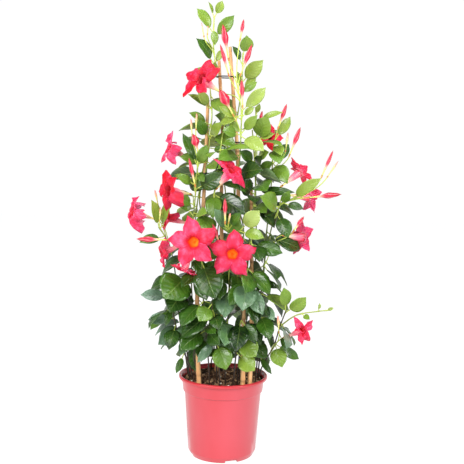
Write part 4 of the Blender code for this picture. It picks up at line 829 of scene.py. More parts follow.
def tie_plastic():
    finish = Finish("tie_plastic", tint(24, 26, 28), 0.42)
    finish.roughness(finish.range(finish.noise(200.0), 0.3, 0.7, 0.35, 0.5))
    return finish.material


def stem_skin():
    """Green above, woody and reddish brown towards the soil."""
    finish = Finish("stem_skin", tint(130, 150, 60), 0.5, Specular_IOR_Level=0.4)
    mottle = finish.noise(120.0, 4.0, (1.0, 1.0, 0.25))
    where = finish.math("ADD", finish.coordinate("Z"), finish.range(mottle, 0.3, 0.7, -0.03, 0.03))
    share = finish.range(where, 0.15, 0.80)
    skin = finish.ramp(share, [
        (0.00, tint(46, 32, 22)), (0.10, tint(58, 52, 28)), (0.28, tint(92, 110, 44)),
        (0.60, tint(138, 160, 62)), (1.00, tint(182, 200, 94))])
    finish.colour(finish.mix(finish.times(finish.attribute("fresh"), 0.85), skin, tint(186, 204, 88)))
    finish.bump(mottle, 0.0003, 0.5)
    return finish.material


def leaf_colours(finish, dark, middle, fresh, bright):
    """Each leaf's own green: its tone from dark to bright, with a little drift over the blade."""
    tone = finish.attribute("tone")
    drift = finish.noise(45.0, 3.0)
    tone = finish.math("ADD", tone, finish.range(drift, 0.25, 0.75, -0.07, 0.07), True)
    return finish.ramp(tone, [(0.0, dark), (0.28, middle), (0.54, fresh), (0.76, bright[0]), (1.0, bright[1])])


def leaf_veins(finish):
    """The midrib, and the side veins that arch from it to the margin, each as a share of 0 to 1."""
    across, along = finish.uv()
    off = finish.math("ABSOLUTE", finish.math("SUBTRACT", across, 0.5))
    midrib = finish.range(off, 0.030, 0.008)
    arch = finish.times(finish.math("POWER", off, 0.8), 0.42)
    wave = finish.times(finish.math("SUBTRACT", along, arch), 8.5 * math.tau)
    line = finish.range(finish.math("SINE", wave), 0.90, 1.0)
    fade = finish.range(off, 0.48, 0.30)
    return midrib, finish.times(line, fade), wave


def leaf_upper():
    finish = Finish(
        "leaf_upper", tint(44, 88, 34), 0.32, Specular_IOR_Level=0.34, Coat_Weight=0.16, Coat_Roughness=0.14)
    green = leaf_colours(
        finish, tint(6, 28, 8), tint(54, 92, 22), tint(100, 132, 42), (tint(126, 148, 54), tint(148, 166, 86)))
    midrib, side_veins, wave = leaf_veins(finish)
    green = finish.mix(finish.times(side_veins, 0.16), green, tint(134, 164, 84))
    green = finish.mix(finish.times(midrib, 0.18), green, tint(150, 178, 88))
    # Painted reflection: some low leaves are mixed towards a whitish blue green in soft patches, a glossy sheen
    # painted into the colour.
    painted_sheen_share = finish.times(finish.attribute("painted_sheen"), finish.range(finish.noise(26.0, 2.0), 0.30, 0.62, 0.35, 1.0))
    finish.colour(finish.mix(painted_sheen_share, green, tint(140, 172, 150)))
    finish.roughness(finish.range(finish.noise(70.0, 3.0), 0.3, 0.7, 0.24, 0.38))
    quilt = finish.range(finish.math("SINE", wave), -1.0, 1.0)
    relief = finish.math("SUBTRACT", finish.times(quilt, -0.6), midrib)
    finish.bump(relief, 0.0006, 0.55)
    return finish.material


def leaf_under():
    finish = Finish("leaf_under", tint(120, 142, 104), 0.58, Specular_IOR_Level=0.35)
    green = leaf_colours(
        finish, tint(78, 104, 72), tint(104, 130, 76), tint(126, 152, 78), (tint(146, 166, 90), tint(176, 192, 122)))
    midrib, side_veins, _ = leaf_veins(finish)
    green = finish.mix(finish.times(side_veins, 0.35), green, tint(168, 184, 136))
    finish.colour(finish.mix(finish.times(midrib, 0.7), green, tint(182, 198, 140)))
    finish.bump(finish.math("ADD", midrib, side_veins), 0.0004, 0.6)
    return finish.material


THIN_PETAL = dict(Subsurface_Weight=0.45, Subsurface_Radius=(0.004, 0.0008, 0.0010), Subsurface_Scale=1.0)


def petal_face():
    """Satin rose red: a darker ring round the throat, fine streaks along, paler at the margin."""
    finish = Finish("petal_face", tint(236, 52, 88), 0.50, Specular_IOR_Level=0.22, **THIN_PETAL)
    across, along = finish.uv()
    streaks = finish.streaks(across, along, 26.0, 1.6)
    clouds = finish.noise(60.0, 3.0)
    shade = finish.attribute("shade")
    red = finish.mix(shade, tint(194, 6, 24), tint(224, 42, 84))
    paler = finish.mix(shade, tint(216, 36, 74), tint(238, 104, 146))
    red = finish.mix(finish.times(finish.range(clouds, 0.42, 0.70), 0.75), red, paler)
    red = finish.mix(finish.times(finish.range(streaks, 0.48, 0.66), 0.65), red, tint(184, 6, 34))
    margin = finish.range(finish.math("ABSOLUTE", finish.math("SUBTRACT", across, 0.5)), 0.38, 0.5)
    red = finish.mix(finish.times(margin, 0.40), red, paler)
    throat = finish.range(along, 0.30, 0.02)
    finish.colour(finish.mix(finish.times(throat, 0.75), red, tint(196, 14, 40)))
    finish.bump(streaks, 0.0007, 0.60)
    return finish.material


def petal_back():
    finish = Finish("petal_back", tint(240, 84, 112), 0.52, Specular_IOR_Level=0.25, **THIN_PETAL)
    across, along = finish.uv()
    streaks = finish.streaks(across, along, 20.0, 1.4)
    red = finish.mix(finish.attribute("shade"), tint(232, 36, 70), tint(250, 88, 136))
    red = finish.mix(finish.range(streaks, 0.50, 0.80), red, tint(255, 160, 192))
    finish.colour(finish.mix(finish.times(finish.range(along, 0.30, 0.0), 0.6), red, tint(250, 150, 160)))
    finish.bump(streaks, 0.0003, 0.3)
    return finish.material


def corolla_outside():
    """The trumpet's outside: cream yellow at the foot, then rose streaked with white."""
    finish = Finish("corolla_outside", tint(240, 110, 130), 0.45, Specular_IOR_Level=0.35)
    across, along = finish.uv()
    streaks = finish.streaks(across, along, 30.0, 1.5, 3.0)
    skin = finish.ramp(along, [
        (0.0, tint(222, 220, 120)), (0.20, tint(250, 232, 160)), (0.40, tint(252, 190, 176)),
        (0.64, tint(244, 110, 138)), (1.0, tint(236, 52, 86))])
    rose = finish.times(finish.range(streaks, 0.50, 0.72), finish.range(along, 0.15, 0.40))
    finish.colour(finish.mix(finish.times(rose, 0.7), skin, tint(255, 214, 212)))
    return finish.material


def corolla_inside():
    """The throat: amber yellow deep inside, with an orange and then a crimson ring at its mouth."""
    finish = Finish("corolla_inside", tint(244, 130, 24), 0.55)
    _, along = finish.uv()
    amber = finish.ramp(along, [
        (0.0, tint(210, 24, 54)), (0.30, tint(200, 18, 34)), (0.42, tint(222, 62, 8)),
        (0.60, tint(240, 104, 8)), (0.80, tint(246, 150, 24)), (1.0, tint(226, 100, 10))])
    finish.colour(finish.mix(finish.range(finish.attribute("shade"), 0.3, 0.1), amber, tint(176, 10, 30)))
    return finish.material


def bud_skin():
    """A furled bud: yellow green foot, cream neck, rose red body with a spiral of paler folds."""
    finish = Finish("bud_skin", tint(226, 60, 84), 0.42, Specular_IOR_Level=0.28)
    along = finish.attribute("along")
    skin = finish.ramp(along, [
        (0.0, tint(190, 200, 92)), (0.24, tint(222, 216, 126)), (0.36, tint(242, 172, 146)),
        (0.48, tint(206, 34, 70)), (0.80, tint(176, 12, 44)), (1.0, tint(156, 12, 32))])
    young = finish.ramp(along, [
        (0.0, tint(180, 196, 90)), (0.45, tint(214, 208, 130)), (0.80, tint(236, 150, 130)),
        (1.0, tint(222, 96, 96))])
    skin = finish.mix(finish.attribute("young"), skin, young)
    fold = finish.times(finish.attribute("fold"), 0.34)
    finish.colour(finish.mix(fold, skin, tint(255, 206, 200)))
    return finish.material


def calyx_skin():
    finish = Finish("calyx_skin", tint(196, 120, 60), 0.5)
    speckle = finish.noise(500.0, 3.0)
    finish.colour(finish.mix(finish.range(speckle, 0.35, 0.65), tint(206, 96, 52), tint(186, 170, 74)))
    return finish.material


# ================================================================ pot and soil
def turned_mesh(profile, steps):
    """A closed bmesh turned about Z from a profile of (radius, height) that starts and ends on the axis."""
    shape = bmesh.new()
    line = [shape.verts.new((radius, 0.0, height)) for radius, height in profile]
    edges = [shape.edges.new(pair) for pair in zip(line, line[1:])]
    bmesh.ops.spin(
        shape, geom=line + edges, axis=(0, 0, 1), cent=(0, 0, 0), angle=math.tau, steps=steps, use_merge=True)
    bmesh.ops.remove_doubles(shape, verts=shape.verts, dist=2e-6)
    bmesh.ops.recalc_face_normals(shape, faces=shape.faces)
    return shape


def rounded(profile, radius, steps=3):
    """The profile with each of its corners turned over a small radius."""
    points = [Vector(point) for point in profile]
    line = [points[0]]
    for before, corner, after in zip(points, points[1:], points[2:]):
        back = before - corner
        onward = after - corner
        reach = min(radius, back.length * 0.45, onward.length * 0.45)
        start = corner + back.normalized() * reach
        end = corner + onward.normalized() * reach
        for i in range(steps + 1):
            t = i / steps
            line.append(start * (1 - t) ** 2 + corner * (2 * t * (1 - t)) + end * t * t)
    return [tuple(point) for point in line + [points[-1]]]


LIP_FOOT = 0.1475
COLLAR_FOOT = 0.1245
FOOT_RADIUS = 0.0603
# The four notches at the foot: width, depth and twice the height; radius of the corners; angle of the first.
NOTCH_SIZE = (0.024, 0.020, 0.0110)
NOTCH_CORNER = 0.0016
FIRST_NOTCH = -71.7


def make_pot():
    profile = [
        (0.0, 0.0030), (0.0585, 0.0030), (0.0632, 0.0120), (0.0714, 0.1235), (0.0744, 0.1255), (0.0767, LIP_FOOT),
        (0.0800, 0.1534), (0.0828, POT_HEIGHT), (RIM_RADIUS, 0.1520), (0.0843, 0.1482), (0.0836, LIP_FOOT),
        (0.0786, 0.1471), (0.0762, COLLAR_FOOT), (0.0732, COLLAR_FOOT - 0.0012), (0.0650, 0.0100),
        (FOOT_RADIUS, 0.0), (0.0, 0.0),
    ]
    pot = finished("pot_shell", turned_mesh(rounded(profile, 0.0009), 128), [pot_plastic()], "pot")
    cutters = bpy.data.collections.new("foot_notches")
    bpy.context.scene.collection.children.link(cutters)
    for quarter in range(4):
        angle = math.radians(FIRST_NOTCH + 90 * quarter)
        outward = Vector((math.sin(angle), -math.cos(angle), 0.0))
        notch = bmesh.new()
        bmesh.ops.create_cube(notch, size=1.0)
        bmesh.ops.scale(notch, verts=notch.verts, vec=NOTCH_SIZE)
        upper = [edge for edge in notch.edges
                 if abs(edge.calc_length() - NOTCH_SIZE[1]) < 0.0005 and edge.verts[0].co.z > 0]
        bmesh.ops.bevel(
            notch, geom=upper, offset=NOTCH_CORNER, segments=3, profile=0.5, affect="EDGES", material=-1)
        turn = Matrix.Translation(outward * FOOT_RADIUS) @ Matrix.Rotation(angle, 4, "Z")
        bmesh.ops.transform(notch, matrix=turn, verts=notch.verts)
        cutters.objects.link(bpy.data.objects.new("notch", as_mesh("notch", notch)))
    cut = pot.modifiers.new("notches", "BOOLEAN")
    cut.operand_type = "COLLECTION"
    cut.collection = cutters
    pot.data = evaluated_mesh(pot)
    pot.modifiers.clear()
    for cutter in list(cutters.objects):
        bpy.data.objects.remove(cutter, do_unlink=True)
    bpy.data.collections.remove(cutters)
    pot.data.set_sharp_from_angle(angle=math.radians(38))


def soil_height(x, y):
    """The top of the potting mix: a low crown with lumps."""
    reach = math.hypot(x, y) / SOIL_REACH
    lumps = noise.noise(Vector((x, y, 0.0)) * 70.0) * 0.0016 + noise.noise(Vector((x, y, 0.3)) * 190.0) * 0.0009
    return SOIL_TOP + 0.0030 * (1 - reach * reach) + lumps * min(1.0, (1.02 - reach) * 6)


def make_soil():
    rings = 26
    profile = [(0.0, SOIL_TOP)] + [(SOIL_REACH * i / rings, SOIL_TOP) for i in range(1, rings + 1)]
    profile += [(0.0742, 0.1280), (0.0708, 0.1225), (0.0628, 0.0130), (0.0572, 0.0033), (0.0, 0.0033)]
    shape = turned_mesh(profile, 96)
    for vert in shape.verts:
        if vert.co.z > SOIL_TOP - 0.001:
            vert.co.z = soil_height(vert.co.x, vert.co.y)
    finished("soil_mix", shape, [potting_mix()], "soil")


def spot_within(chance, radius):
    """A place drawn evenly from a disc, and how far it lies from the middle."""
    angle = chance.uniform(0, math.tau)
    reach = radius * math.sqrt(chance.random())
    return reach * math.cos(angle), reach * math.sin(angle), reach


def grain(chance, small, large):
    """Size and turn of a grain."""
    size = Vector([chance.uniform(small, large) for _ in range(3)])
    return size, Euler([chance.uniform(0, 3) for _ in range(3)])


def scatter_piece(shape, size, place, turn, chance, roughen, shade_layer, shade):
    """One rough block: a box with its corners drawn about, set in the mix."""
    made = bmesh.ops.create_cube(shape, size=1.0)["verts"]
    bmesh.ops.scale(shape, verts=made, vec=size)
    for vert in made:
        vert.co += Vector([chance.uniform(-1, 1) * side * roughen for side in size])
        vert[shade_layer] = shade
    bmesh.ops.transform(shape, matrix=Matrix.Translation(place) @ turn.to_matrix().to_4x4(), verts=made)


def make_chips():
    """Bark chips and crumbs on the mix, the larger ones towards the right, and a few grains of perlite."""
    chance = random.Random(5)
    chips = bmesh.new()
    shade_layer = chips.verts.layers.float.new("shade")
    for _ in range(520):
        x, y, reach = spot_within(chance, 0.0735)
        big = 0.6 + 0.5 * chance.random() + 0.5 * graded_smooth(0.02, 0.06, x)
        size = Vector([chance.uniform(*span) for span in ((0.0035, 0.0100), (0.0020, 0.0050), (0.0008, 0.0022))])
        size *= big
        turn = Euler((chance.uniform(-0.55, 0.55), chance.uniform(-0.55, 0.55), chance.uniform(0, math.tau)))
        place = Vector((x, y, soil_height(x, y) + size.z * chance.uniform(0.1, 0.7) + 0.0004))
        if reach + size.x / 2 <= SOIL_REACH - 0.0002:
            scatter_piece(chips, size, place, turn, chance, 0.22, shade_layer, chance.uniform(0.0, 1.0) ** 2.4)
    for _ in range(700):
        x, y, _ = spot_within(chance, 0.0745)
        size, turn = grain(chance, 0.0008, 0.0022)
        place = Vector((x, y, soil_height(x, y) + size.z * 0.3))
        scatter_piece(chips, size, place, turn, chance, 0.2, shade_layer, chance.uniform(0.0, 0.7))
    bmesh.ops.recalc_face_normals(chips, faces=chips.faces)
    finished("soil_bark_chips", chips, [bark_chip()], "soil", smooth=False)
    grains = bmesh.new()
    shade_layer = grains.verts.layers.float.new("shade")
    spots = [(-0.031, -0.062), (-0.022, -0.066), (-0.014, -0.067), (0.011, -0.060), (-0.026, -0.064)]
    spots += [spot_within(chance, 0.070)[:2] for _ in range(16)]
    for x, y in spots:
        size, turn = grain(chance, 0.0014, 0.0030)
        place = Vector((x, y, soil_height(x, y) + 0.0012))
        scatter_piece(grains, size, place, turn, chance, 0.2, shade_layer, 1.0)
    bmesh.ops.recalc_face_normals(grains, faces=grains.faces)
    finished("soil_perlite", grains, [perlite()], "soil")


# ================================================================ canes and ties
def swelling(gaps, width):
    """1 at a gap of nought and fading over the width; 0 without gaps."""
    return max((math.exp(-(gap / width) ** 2) for gap in gaps), default=0.0)


def make_canes(canes):
    """Split bamboo canes, each with its joints, which swell a little and are dark below."""
    skin = bamboo()
    pith = cane_pith()
    chance = random.Random(3)
    for name, route in canes.items():
        line = smooth_route(route, 0.0035)
        joints = []
        height = route[0].z + chance.uniform(0.10, 0.14)
        while height < route[-1].z - 0.02:
            joints.append(height)
            height += chance.uniform(0.085, 0.120)
        radii = []
        for point, radius in zip(line, graded(CANE_FOOT_RADIUS, CANE_TOP_RADIUS, len(line))):
            radii.append(radius * (0.95 + 0.12 * swelling([point.z - joint for joint in joints], 0.0035)))
        mesh = tube_mesh(name, line, radii, 16)
        shape = bmesh.new()
        shape.from_mesh(mesh)
        band = shape.verts.layers.float.new("band")
        for vert in shape.verts:
            vert[band] = swelling([joint - vert.co.z - 0.0035 for joint in joints], 0.0016)
        top = route[-1]
        way = (line[-1] - line[-2]).normalized()
        for face in shape.faces:
            if (face.calc_center_median() - top).dot(way) > -1e-4 and face.normal.dot(way) > 0.8:
                face.material_index = 1
        cane = finished(name + "_fine", shape, [skin, pith], name)
        cane.data.set_sharp_from_angle(angle=math.radians(50))


def ring_shape(centre, reach):
    """A round tie, as a small circle turned about the upright through its centre."""
    shape = bmesh.new()
    made = bmesh.ops.create_circle(shape, segments=10, radius=TIE_THICKNESS * 0.92)["verts"]
    bmesh.ops.rotate(shape, verts=made, cent=(0, 0, 0), matrix=Matrix.Rotation(math.pi / 2, 3, "X"))
    bmesh.ops.translate(shape, verts=made, vec=(reach, 0, 0))
    bmesh.ops.spin(
        shape, geom=list(shape.verts) + list(shape.edges), axis=(0, 0, 1), cent=(0, 0, 0), angle=math.tau,
        steps=48, use_merge=True)
    bmesh.ops.remove_doubles(shape, verts=shape.verts, dist=1e-6)
    bmesh.ops.recalc_face_normals(shape, faces=shape.faces)
    bmesh.ops.translate(shape, verts=shape.verts, vec=centre)
    return shape


def make_ties():
    black = tie_plastic()
    for name in ("tie_ring_top", "tie_ring_middle", "clip_left"):
        low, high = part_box(name)
        reach = (high.x - low.x) / 2 - TIE_THICKNESS
        finished(name + "_fine", ring_shape((low + high) / 2, reach), [black], name)


# ================================================================ stems
def nearest_on(line, point):
    """The point of the line nearest to a point."""
    best = None
    for start, end in zip(line, line[1:]):
        span = end - start
        share = max(0.0, min(1.0, (point - start).dot(span) / max(span.length_squared, 1e-12)))
        spot = start + span * share
        if best is None or (spot - point).length < (best - point).length:
            best = spot
    return best


def stem_bar(line, first, last, knots):
    """A stem as a closed bar that swells where its leaves stand."""
    radii = []
    for point, radius in zip(line, graded(first, last, len(line))):
        radii.append(radius * (1 + 0.38 * swelling([(point - knot).length for knot in knots], 0.0030)))
    return tube_mesh("bar", line, radii, 8)


def petiole_line(leaf, line):
    """The leaf's stalk, sagging a little on its way from the stem to the blade."""
    root = nearest_on(line, leaf["root"])
    base = leaf["base"] + leaf["axis"] * 0.0015
    sag = leaf["axis"] * (root - base).length * 0.30
    return [root, root.lerp(base, 0.34) - sag * 0.35, root.lerp(base, 0.68) - sag * 0.30, base]


def calyx_cup(shape, foot, way, reach, length):
    """Five pointed sepals in one small cup."""
    made = bmesh.ops.create_cone(
        shape, cap_ends=True, segments=10, radius1=reach * 0.75, radius2=reach * 1.25, depth=length)["verts"]
    top = sorted((v for v in made if v.co.z > 0), key=lambda v: math.atan2(v.co.y, v.co.x))
    for index, vert in enumerate(top):
        vert.co.z += length * (0.55 if index % 2 else -0.30)
    turn = Vector((0, 0, 1)).rotation_difference(way).to_matrix().to_4x4()
    bmesh.ops.transform(shape, matrix=Matrix.Translation(foot) @ turn, verts=made)
    return {face for vert in made for face in vert.link_faces}


def make_stems(name, lines, leaves, stalks):
    """One vine's stem and shoots with its leaf stalks, flower stalks and calyxes."""
    shape = bmesh.new()
    fresh = shape.verts.layers.float.new("fresh")
    homes = {id(leaf): min(lines, key=lambda one: (nearest_on(one, leaf["root"]) - leaf["root"]).length)
             for leaf in leaves}
    for index, line in enumerate(lines):
        knots = [nearest_on(line, leaf["root"]) for leaf in leaves if homes[id(leaf)] is line]
        first, last = (STEM_FOOT_RADIUS * 0.62, STEM_TIP_RADIUS) if index == 0 else SHOOT_RADII
        verts, _ = append_mesh(shape, stem_bar(line, first, last, knots))
        for vert in verts:
            vert[fresh] = 0.0 if index == 0 else 0.6
    for leaf in leaves:
        route = smooth_route(petiole_line(leaf, homes[id(leaf)]), 0.003)
        verts, _ = append_mesh(shape, tube_mesh("bar", route, graded(*PETIOLE_RADII, len(route)), 6))
        for vert in verts:
            vert[fresh] = 1.0
    cups = set()
    for line, way, reach in stalks:
        verts, _ = append_mesh(shape, tube_mesh("bar", line, [STALK_RADIUS * 0.85] * len(line), 8))
        for vert in verts:
            vert[fresh] = 1.0
        cups |= calyx_cup(shape, line[-1] - way * 0.0006, way, reach, 0.0042 if reach > 0.0012 else 0.003)
    for face in shape.faces:
        face.material_index = 1 if face in cups else 0
    stem = finished(name + "_stem", shape, [SKINS["stem"], SKINS["calyx"]], name)
    stem.data.set_sharp_from_angle(angle=math.radians(60))


# ================================================================ leaves
BLADE_SHEET = 0.00045
# How the leaves' tone changes upwards: height in metres, tone from dark to bright.
TONES = [(0.14, 0.18), (0.30, 0.19), (0.42, 0.26), (0.50, 0.38), (0.60, 0.56), (0.72, 0.75), (0.84, 0.88)]
# Young leaves, brighter and some smaller than their neighbours: middle, its reach, tone, share of full size.
YOUNG_LEAVES = [
    ((-116, -80, 466), 30, 0.74, 1), ((45, -92, 457), 19, 0.95, 1), ((48, -98, 434), 16, 0.62, 1),
    ((55, -84, 226), 18, 0.6, 0.8), ((54, -78, 198), 16, 0.66, 0.82), ((98, -60, 206), 22, 0.6, 0.95),
    ((2, -95, 205), 18, 0.42, 0.76), ((112, -58, 315), 22, 0.62, 1), ((134, -60, 304), 20, 0.62, 1),
    ((134, -72, 283), 20, 0.58, 1), ((80, -40, 620), 20, 0.8, 1), ((155, -30, 505), 30, 0.72, 1),
    ((-35, -108, 292), 20, 0.44, 1),
]


def leaf_tone(leaf, chance):
    """The leaf's tone, from dark and glossy low down to yellow green at the top, and its share of full size."""
    height = leaf["base"].z
    middle = leaf["base"] + leaf["axis"] * (leaf["length"] / 2)
    tone = along_line(TONES, height) + chance.gauss(0.0, 0.08 + 0.08 * graded_smooth(0.36, 0.50, height))
    # About a quarter of the leaves in the middle of the plant at mid height are made very dark: painted shade deep in
    # the foliage.
    if chance.random() < 0.24 and 0.38 < height < 0.58 and abs(middle.x) < 0.11:
        tone = chance.uniform(0.02, 0.20)
    size = 1.06 + 0.09 * graded_smooth(0.46, 0.52, height) * graded_smooth(0.74, 0.66, height)
    if leaf["owner"] == "vine_11" and middle.x > 0.165:
        tone = 0.92
    for place, reach, young, share in YOUNG_LEAVES:
        if (middle - Vector(metres(place))).length < metres(reach):
            tone, size = young, share * 1.05
    return min(1.0, max(0.0, tone)), size


def blade_outline(share, slender):
    """The blade's half width along it: a full ellipse drawn out to a point, slimmer in the slender young leaves."""
    share = min(1.0, max(0.0, share))
    full = max(0.0, math.sin(math.pi * share ** (0.88 + 0.04 * slender))) ** (0.64 + 0.16 * slender)
    point = graded_smooth(0.74, 1.0, share)
    return (0.59 - 0.06 * slender) * full * (1 - 0.55 * point)


def shape_blade(verts, leaf, layers, chance):
    """Maps a flat sheet onto the leaf: folded along the midrib, arched, twisted a little, with a wavy margin."""
    bend = chance.uniform(-1, 1) * 0.035 * leaf["length"]
    twist = math.radians(chance.uniform(-9, 9))
    phase = chance.uniform(0, math.tau)
    waves = chance.uniform(0.6, 1.4)
    tone, size = leaf_tone(leaf, chance)
    slender = graded_smooth(0.50, 0.66, leaf["base"].z)
    # About one in six dark, low leaves inside the plant gets a share of painted sheen, a whitish reflection painted
    # into its colour.
    low_inside = leaf["base"].z < 0.46 and leaf["base"].x > -0.12
    painted_sheen = chance.uniform(0.20, 0.62) if chance.random() < 0.16 and low_inside and tone < 0.38 else 0.0
    side = leaf["axis"].cross(leaf["face"])
    grown = dict(leaf, length=leaf["length"] * size)
    for vert in verts:
        across = vert.co.x * 2 - 1
        share = vert.co.y - 0.06 * math.sin(math.tau * vert.co.y)
        below = vert.co.z < -1e-5
        centre, normal = midrib_point(grown, share)
        half = leaf["width"] * min(1.0, size) * blade_outline(share, slender)
        fold = half * BLADE_FOLD * (math.sqrt(across * across + 0.03) - math.sqrt(0.03)) * 1.6
        wave = 0.055 * half * across * across * math.sin(waves * 11.0 * share + phase + (1.6 if across > 0 else 0.0))
        lean = math.sin(twist * share) * across * half
        level = half * across * math.cos(fold / max(half, 1e-6) * 0.2)
        spot = centre + side * (level + bend * math.sin(math.pi * share)) + normal * (fold + wave + lean)
        if below:
            rib = math.exp(-(across / 0.10) ** 2) * 0.0006 * (1 - 0.6 * share)
            spot -= normal * (BLADE_SHEET + rib)
        vert.co = spot
        vert[layers[0]] = tone
        vert[layers[1]] = painted_sheen


def make_leaves(name, leaves, sheets):
    """One vine's leaves: the front ones of a finer sheet, each with draws of its own."""
    shape = bmesh.new()
    shape.loops.layers.uv.new("blade")
    layers = [shape.verts.layers.float.new(key) for key in ("tone", "painted_sheen")]
    for leaf in leaves:
        verts, _ = append_mesh(shape, sheets[leaf["plain"]])
        shape_blade(verts, leaf, layers, random.Random(round(leaf["root"].z * 1e5)))
    bmesh.ops.remove_doubles(shape, verts=shape.verts, dist=4e-6)
    finished(name + "_leaves", shape, [SKINS["upper"], SKINS["under"]], name)


# ================================================================ blooms and buds
# Round one petal's outer edge: place from one side to the other, angle from its middle, reach as a share.
PETAL_EDGE = [
    (-1.0, -42.0, 0.58), (-0.75, -33.0, 0.71), (-0.50, -22.0, 0.81), (-0.25, -10.5, 0.885), (0.0, 0.5, 0.935),
    (0.125, 5.0, 1.01), (0.25, 9.5, 0.90), (0.50, 19.5, 0.80), (0.75, 30.0, 0.68), (1.0, 41.0, 0.50),
]
LOBE_HALF_ANGLE = 41.0
LOBE_TURN = 360 / LOBE_COUNT
# The trumpet's outline: share of its length, radius as a share of the bloom's width.
TRUMPET = [(0.0, 0.020), (0.20, 0.030), (0.34, 0.048), (0.68, 0.092), (0.90, 0.112), (1.0, 0.125)]
THROAT_SHARE = 0.235
INNER_DEPTH = 0.40


def edge_at(place):
    """Angle and reach of the petal's edge, through its stops without corners."""
    stops = [Vector((stop[1], stop[2])) for stop in PETAL_EDGE]
    places = [stop[0] for stop in PETAL_EDGE]
    k = max(i for i in range(len(places) - 1) if places[i] <= place + 1e-9)
    four = stops[max(k - 1, 0)], stops[k], stops[k + 1], stops[min(k + 2, len(stops) - 1)]
    return curve_point(*four, (place - places[k]) / (places[k + 1] - places[k]))


# How each bloom stands: flare forward, how pointed its lobes are, how far they have curled, and their seed.
HABITS = dict(
    bloom_01=(0.22, 0.6, 0.30, 4), bloom_02=(0.14, 0.6, 0.60, 25), bloom_03=(0.10, 0.3, 0.50, 21),
    bloom_04=(0.04, 0.45, 0.80, 24), bloom_05=(0.30, 0.6, 0.80, 5), bloom_06=(0.0, 0.35, 0.10, 6),
    bloom_07=(0.20, 0.6, 0.80, 7), bloom_08=(0.20, 0.8, 0.60, 8), bloom_09=(0.0, 0.25, 0.08, 9),
    bloom_10=(0.30, 0.8, 0.45, 10), bloom_11=(0.15, 0.6, 0.50, 11), bloom_12=(0.20, 0.7, 0.40, 12),
    bloom_13=(0.30, 0.9, 0.50, 13), bloom_14=(0.06, 0.6, 0.15, 14), bloom_15=(0.28, 1.0, 0.45, 15))
DEEP_RED = ("bloom_01", "bloom_03", "bloom_05", "bloom_11", "bloom_12")
PALE_PINK = ("bloom_02", "bloom_04", "bloom_14")


def add_petal(shape, template, place_at, width, lobe, layer, habit, shades, chance):
    """One of the overlapping lobes, one side over its neighbour and the other under it."""
    verts, _ = append_mesh(shape, template)
    half = width / 2
    shade = chance.uniform(*shades)
    flare, pointed, age, _ = habit
    curl = age * chance.uniform(-0.85, 0.55)
    twist = age * chance.uniform(-16.0, 16.0)
    ruffle = age * chance.uniform(0.05, 0.12)
    tip = chance.uniform(-0.045, 0.03)
    phase = chance.uniform(0, math.tau)
    lift = chance.uniform(0.7, 1.3)
    for vert in verts:
        across = vert.co.x * 2 - 1
        share = vert.co.y
        edge = edge_at(max(-1.0, min(1.0, across)))
        edge.y *= 1 - pointed * 0.26 * abs(across)
        edge.y += pointed * 0.11 * math.exp(-((across - 0.11) / 0.22) ** 2)
        reach = THROAT_SHARE + (edge.y - THROAT_SHARE) * share
        angle = LOBE_HALF_ANGLE * across
        angle += (edge.x - angle) * share**0.75
        rise = half * (0.085 * math.sin(math.pi * share**0.8) - (0.050 - tip) * share**2.2)
        rise += half * 0.034 * across * lift * (0.4 + 0.6 * share)
        rise += half * flare * share * (1 - 0.30 * share)
        rise += half * (curl * share**2.4 + ruffle * share**2 * math.sin(8.0 * across + phase))
        reach *= 1 - 0.22 * abs(curl) * share**3
        angle += twist * share**2
        rise += half * 0.045 * share * math.sin(5.0 * across + phase) * abs(across)
        rise += half * 0.022 * share**3 * math.sin(13.0 * across + 2 * phase)
        reach *= 1 + 0.022 * share**2 * math.sin(11.0 * across + 3 * phase)
        rise -= half * 0.030 * math.exp(-((across - 0.1) / 0.16) ** 2) * share * (1 - 0.4 * share)
        if vert.co.z < -1e-5:
            rise -= BLADE_SHEET
        vert.co = place_at(math.radians(lobe * LOBE_TURN + angle), reach * half, rise)
        vert[layer] = shade


def add_funnel(shape, template, place_at, width, layer, shade):
    """The trumpet as one closed skin: up its fluted outside, over the throat's edge and down inside."""
    verts, faces = append_mesh(shape, template)
    uv_layer = shape.loops.layers.uv["blade"]
    spots = {vert: (vert.co.x, vert.co.y) for vert in verts}
    for vert in verts:
        turn, step = spots[vert]
        outside = step <= 0.5
        share = step * 2 if outside else 1.0 - (step - 0.5) * 2 * INNER_DEPTH
        reach = along_line(TRUMPET, share) * width
        flute = 1 + 0.055 * graded_smooth(0.1, 0.9, share) * math.cos(5 * math.tau * turn)
        if step < 1e-6 or step > 1 - 1e-6:
            reach = 0.0
        elif not outside:
            reach = max(0.0, reach - 0.0007) * (1 - graded_smooth(0.78, 1.0, step))
        vert.co = place_at(math.tau * turn, reach * flute, (share - 1.0) * TUBE_LENGTH - (0.0 if outside else 0.0002))
        vert[layer] = shade
    for face in faces:
        middle = sum(spots[vert][1] for vert in face.verts) / len(face.verts)
        face.material_index = 2 if middle < 0.5 else 3
        for loop in face.loops:
            turn, step = spots[loop.vert]
            loop[uv_layer].uv = (turn, step * 2 if middle < 0.5 else (step - 0.5) * 2)


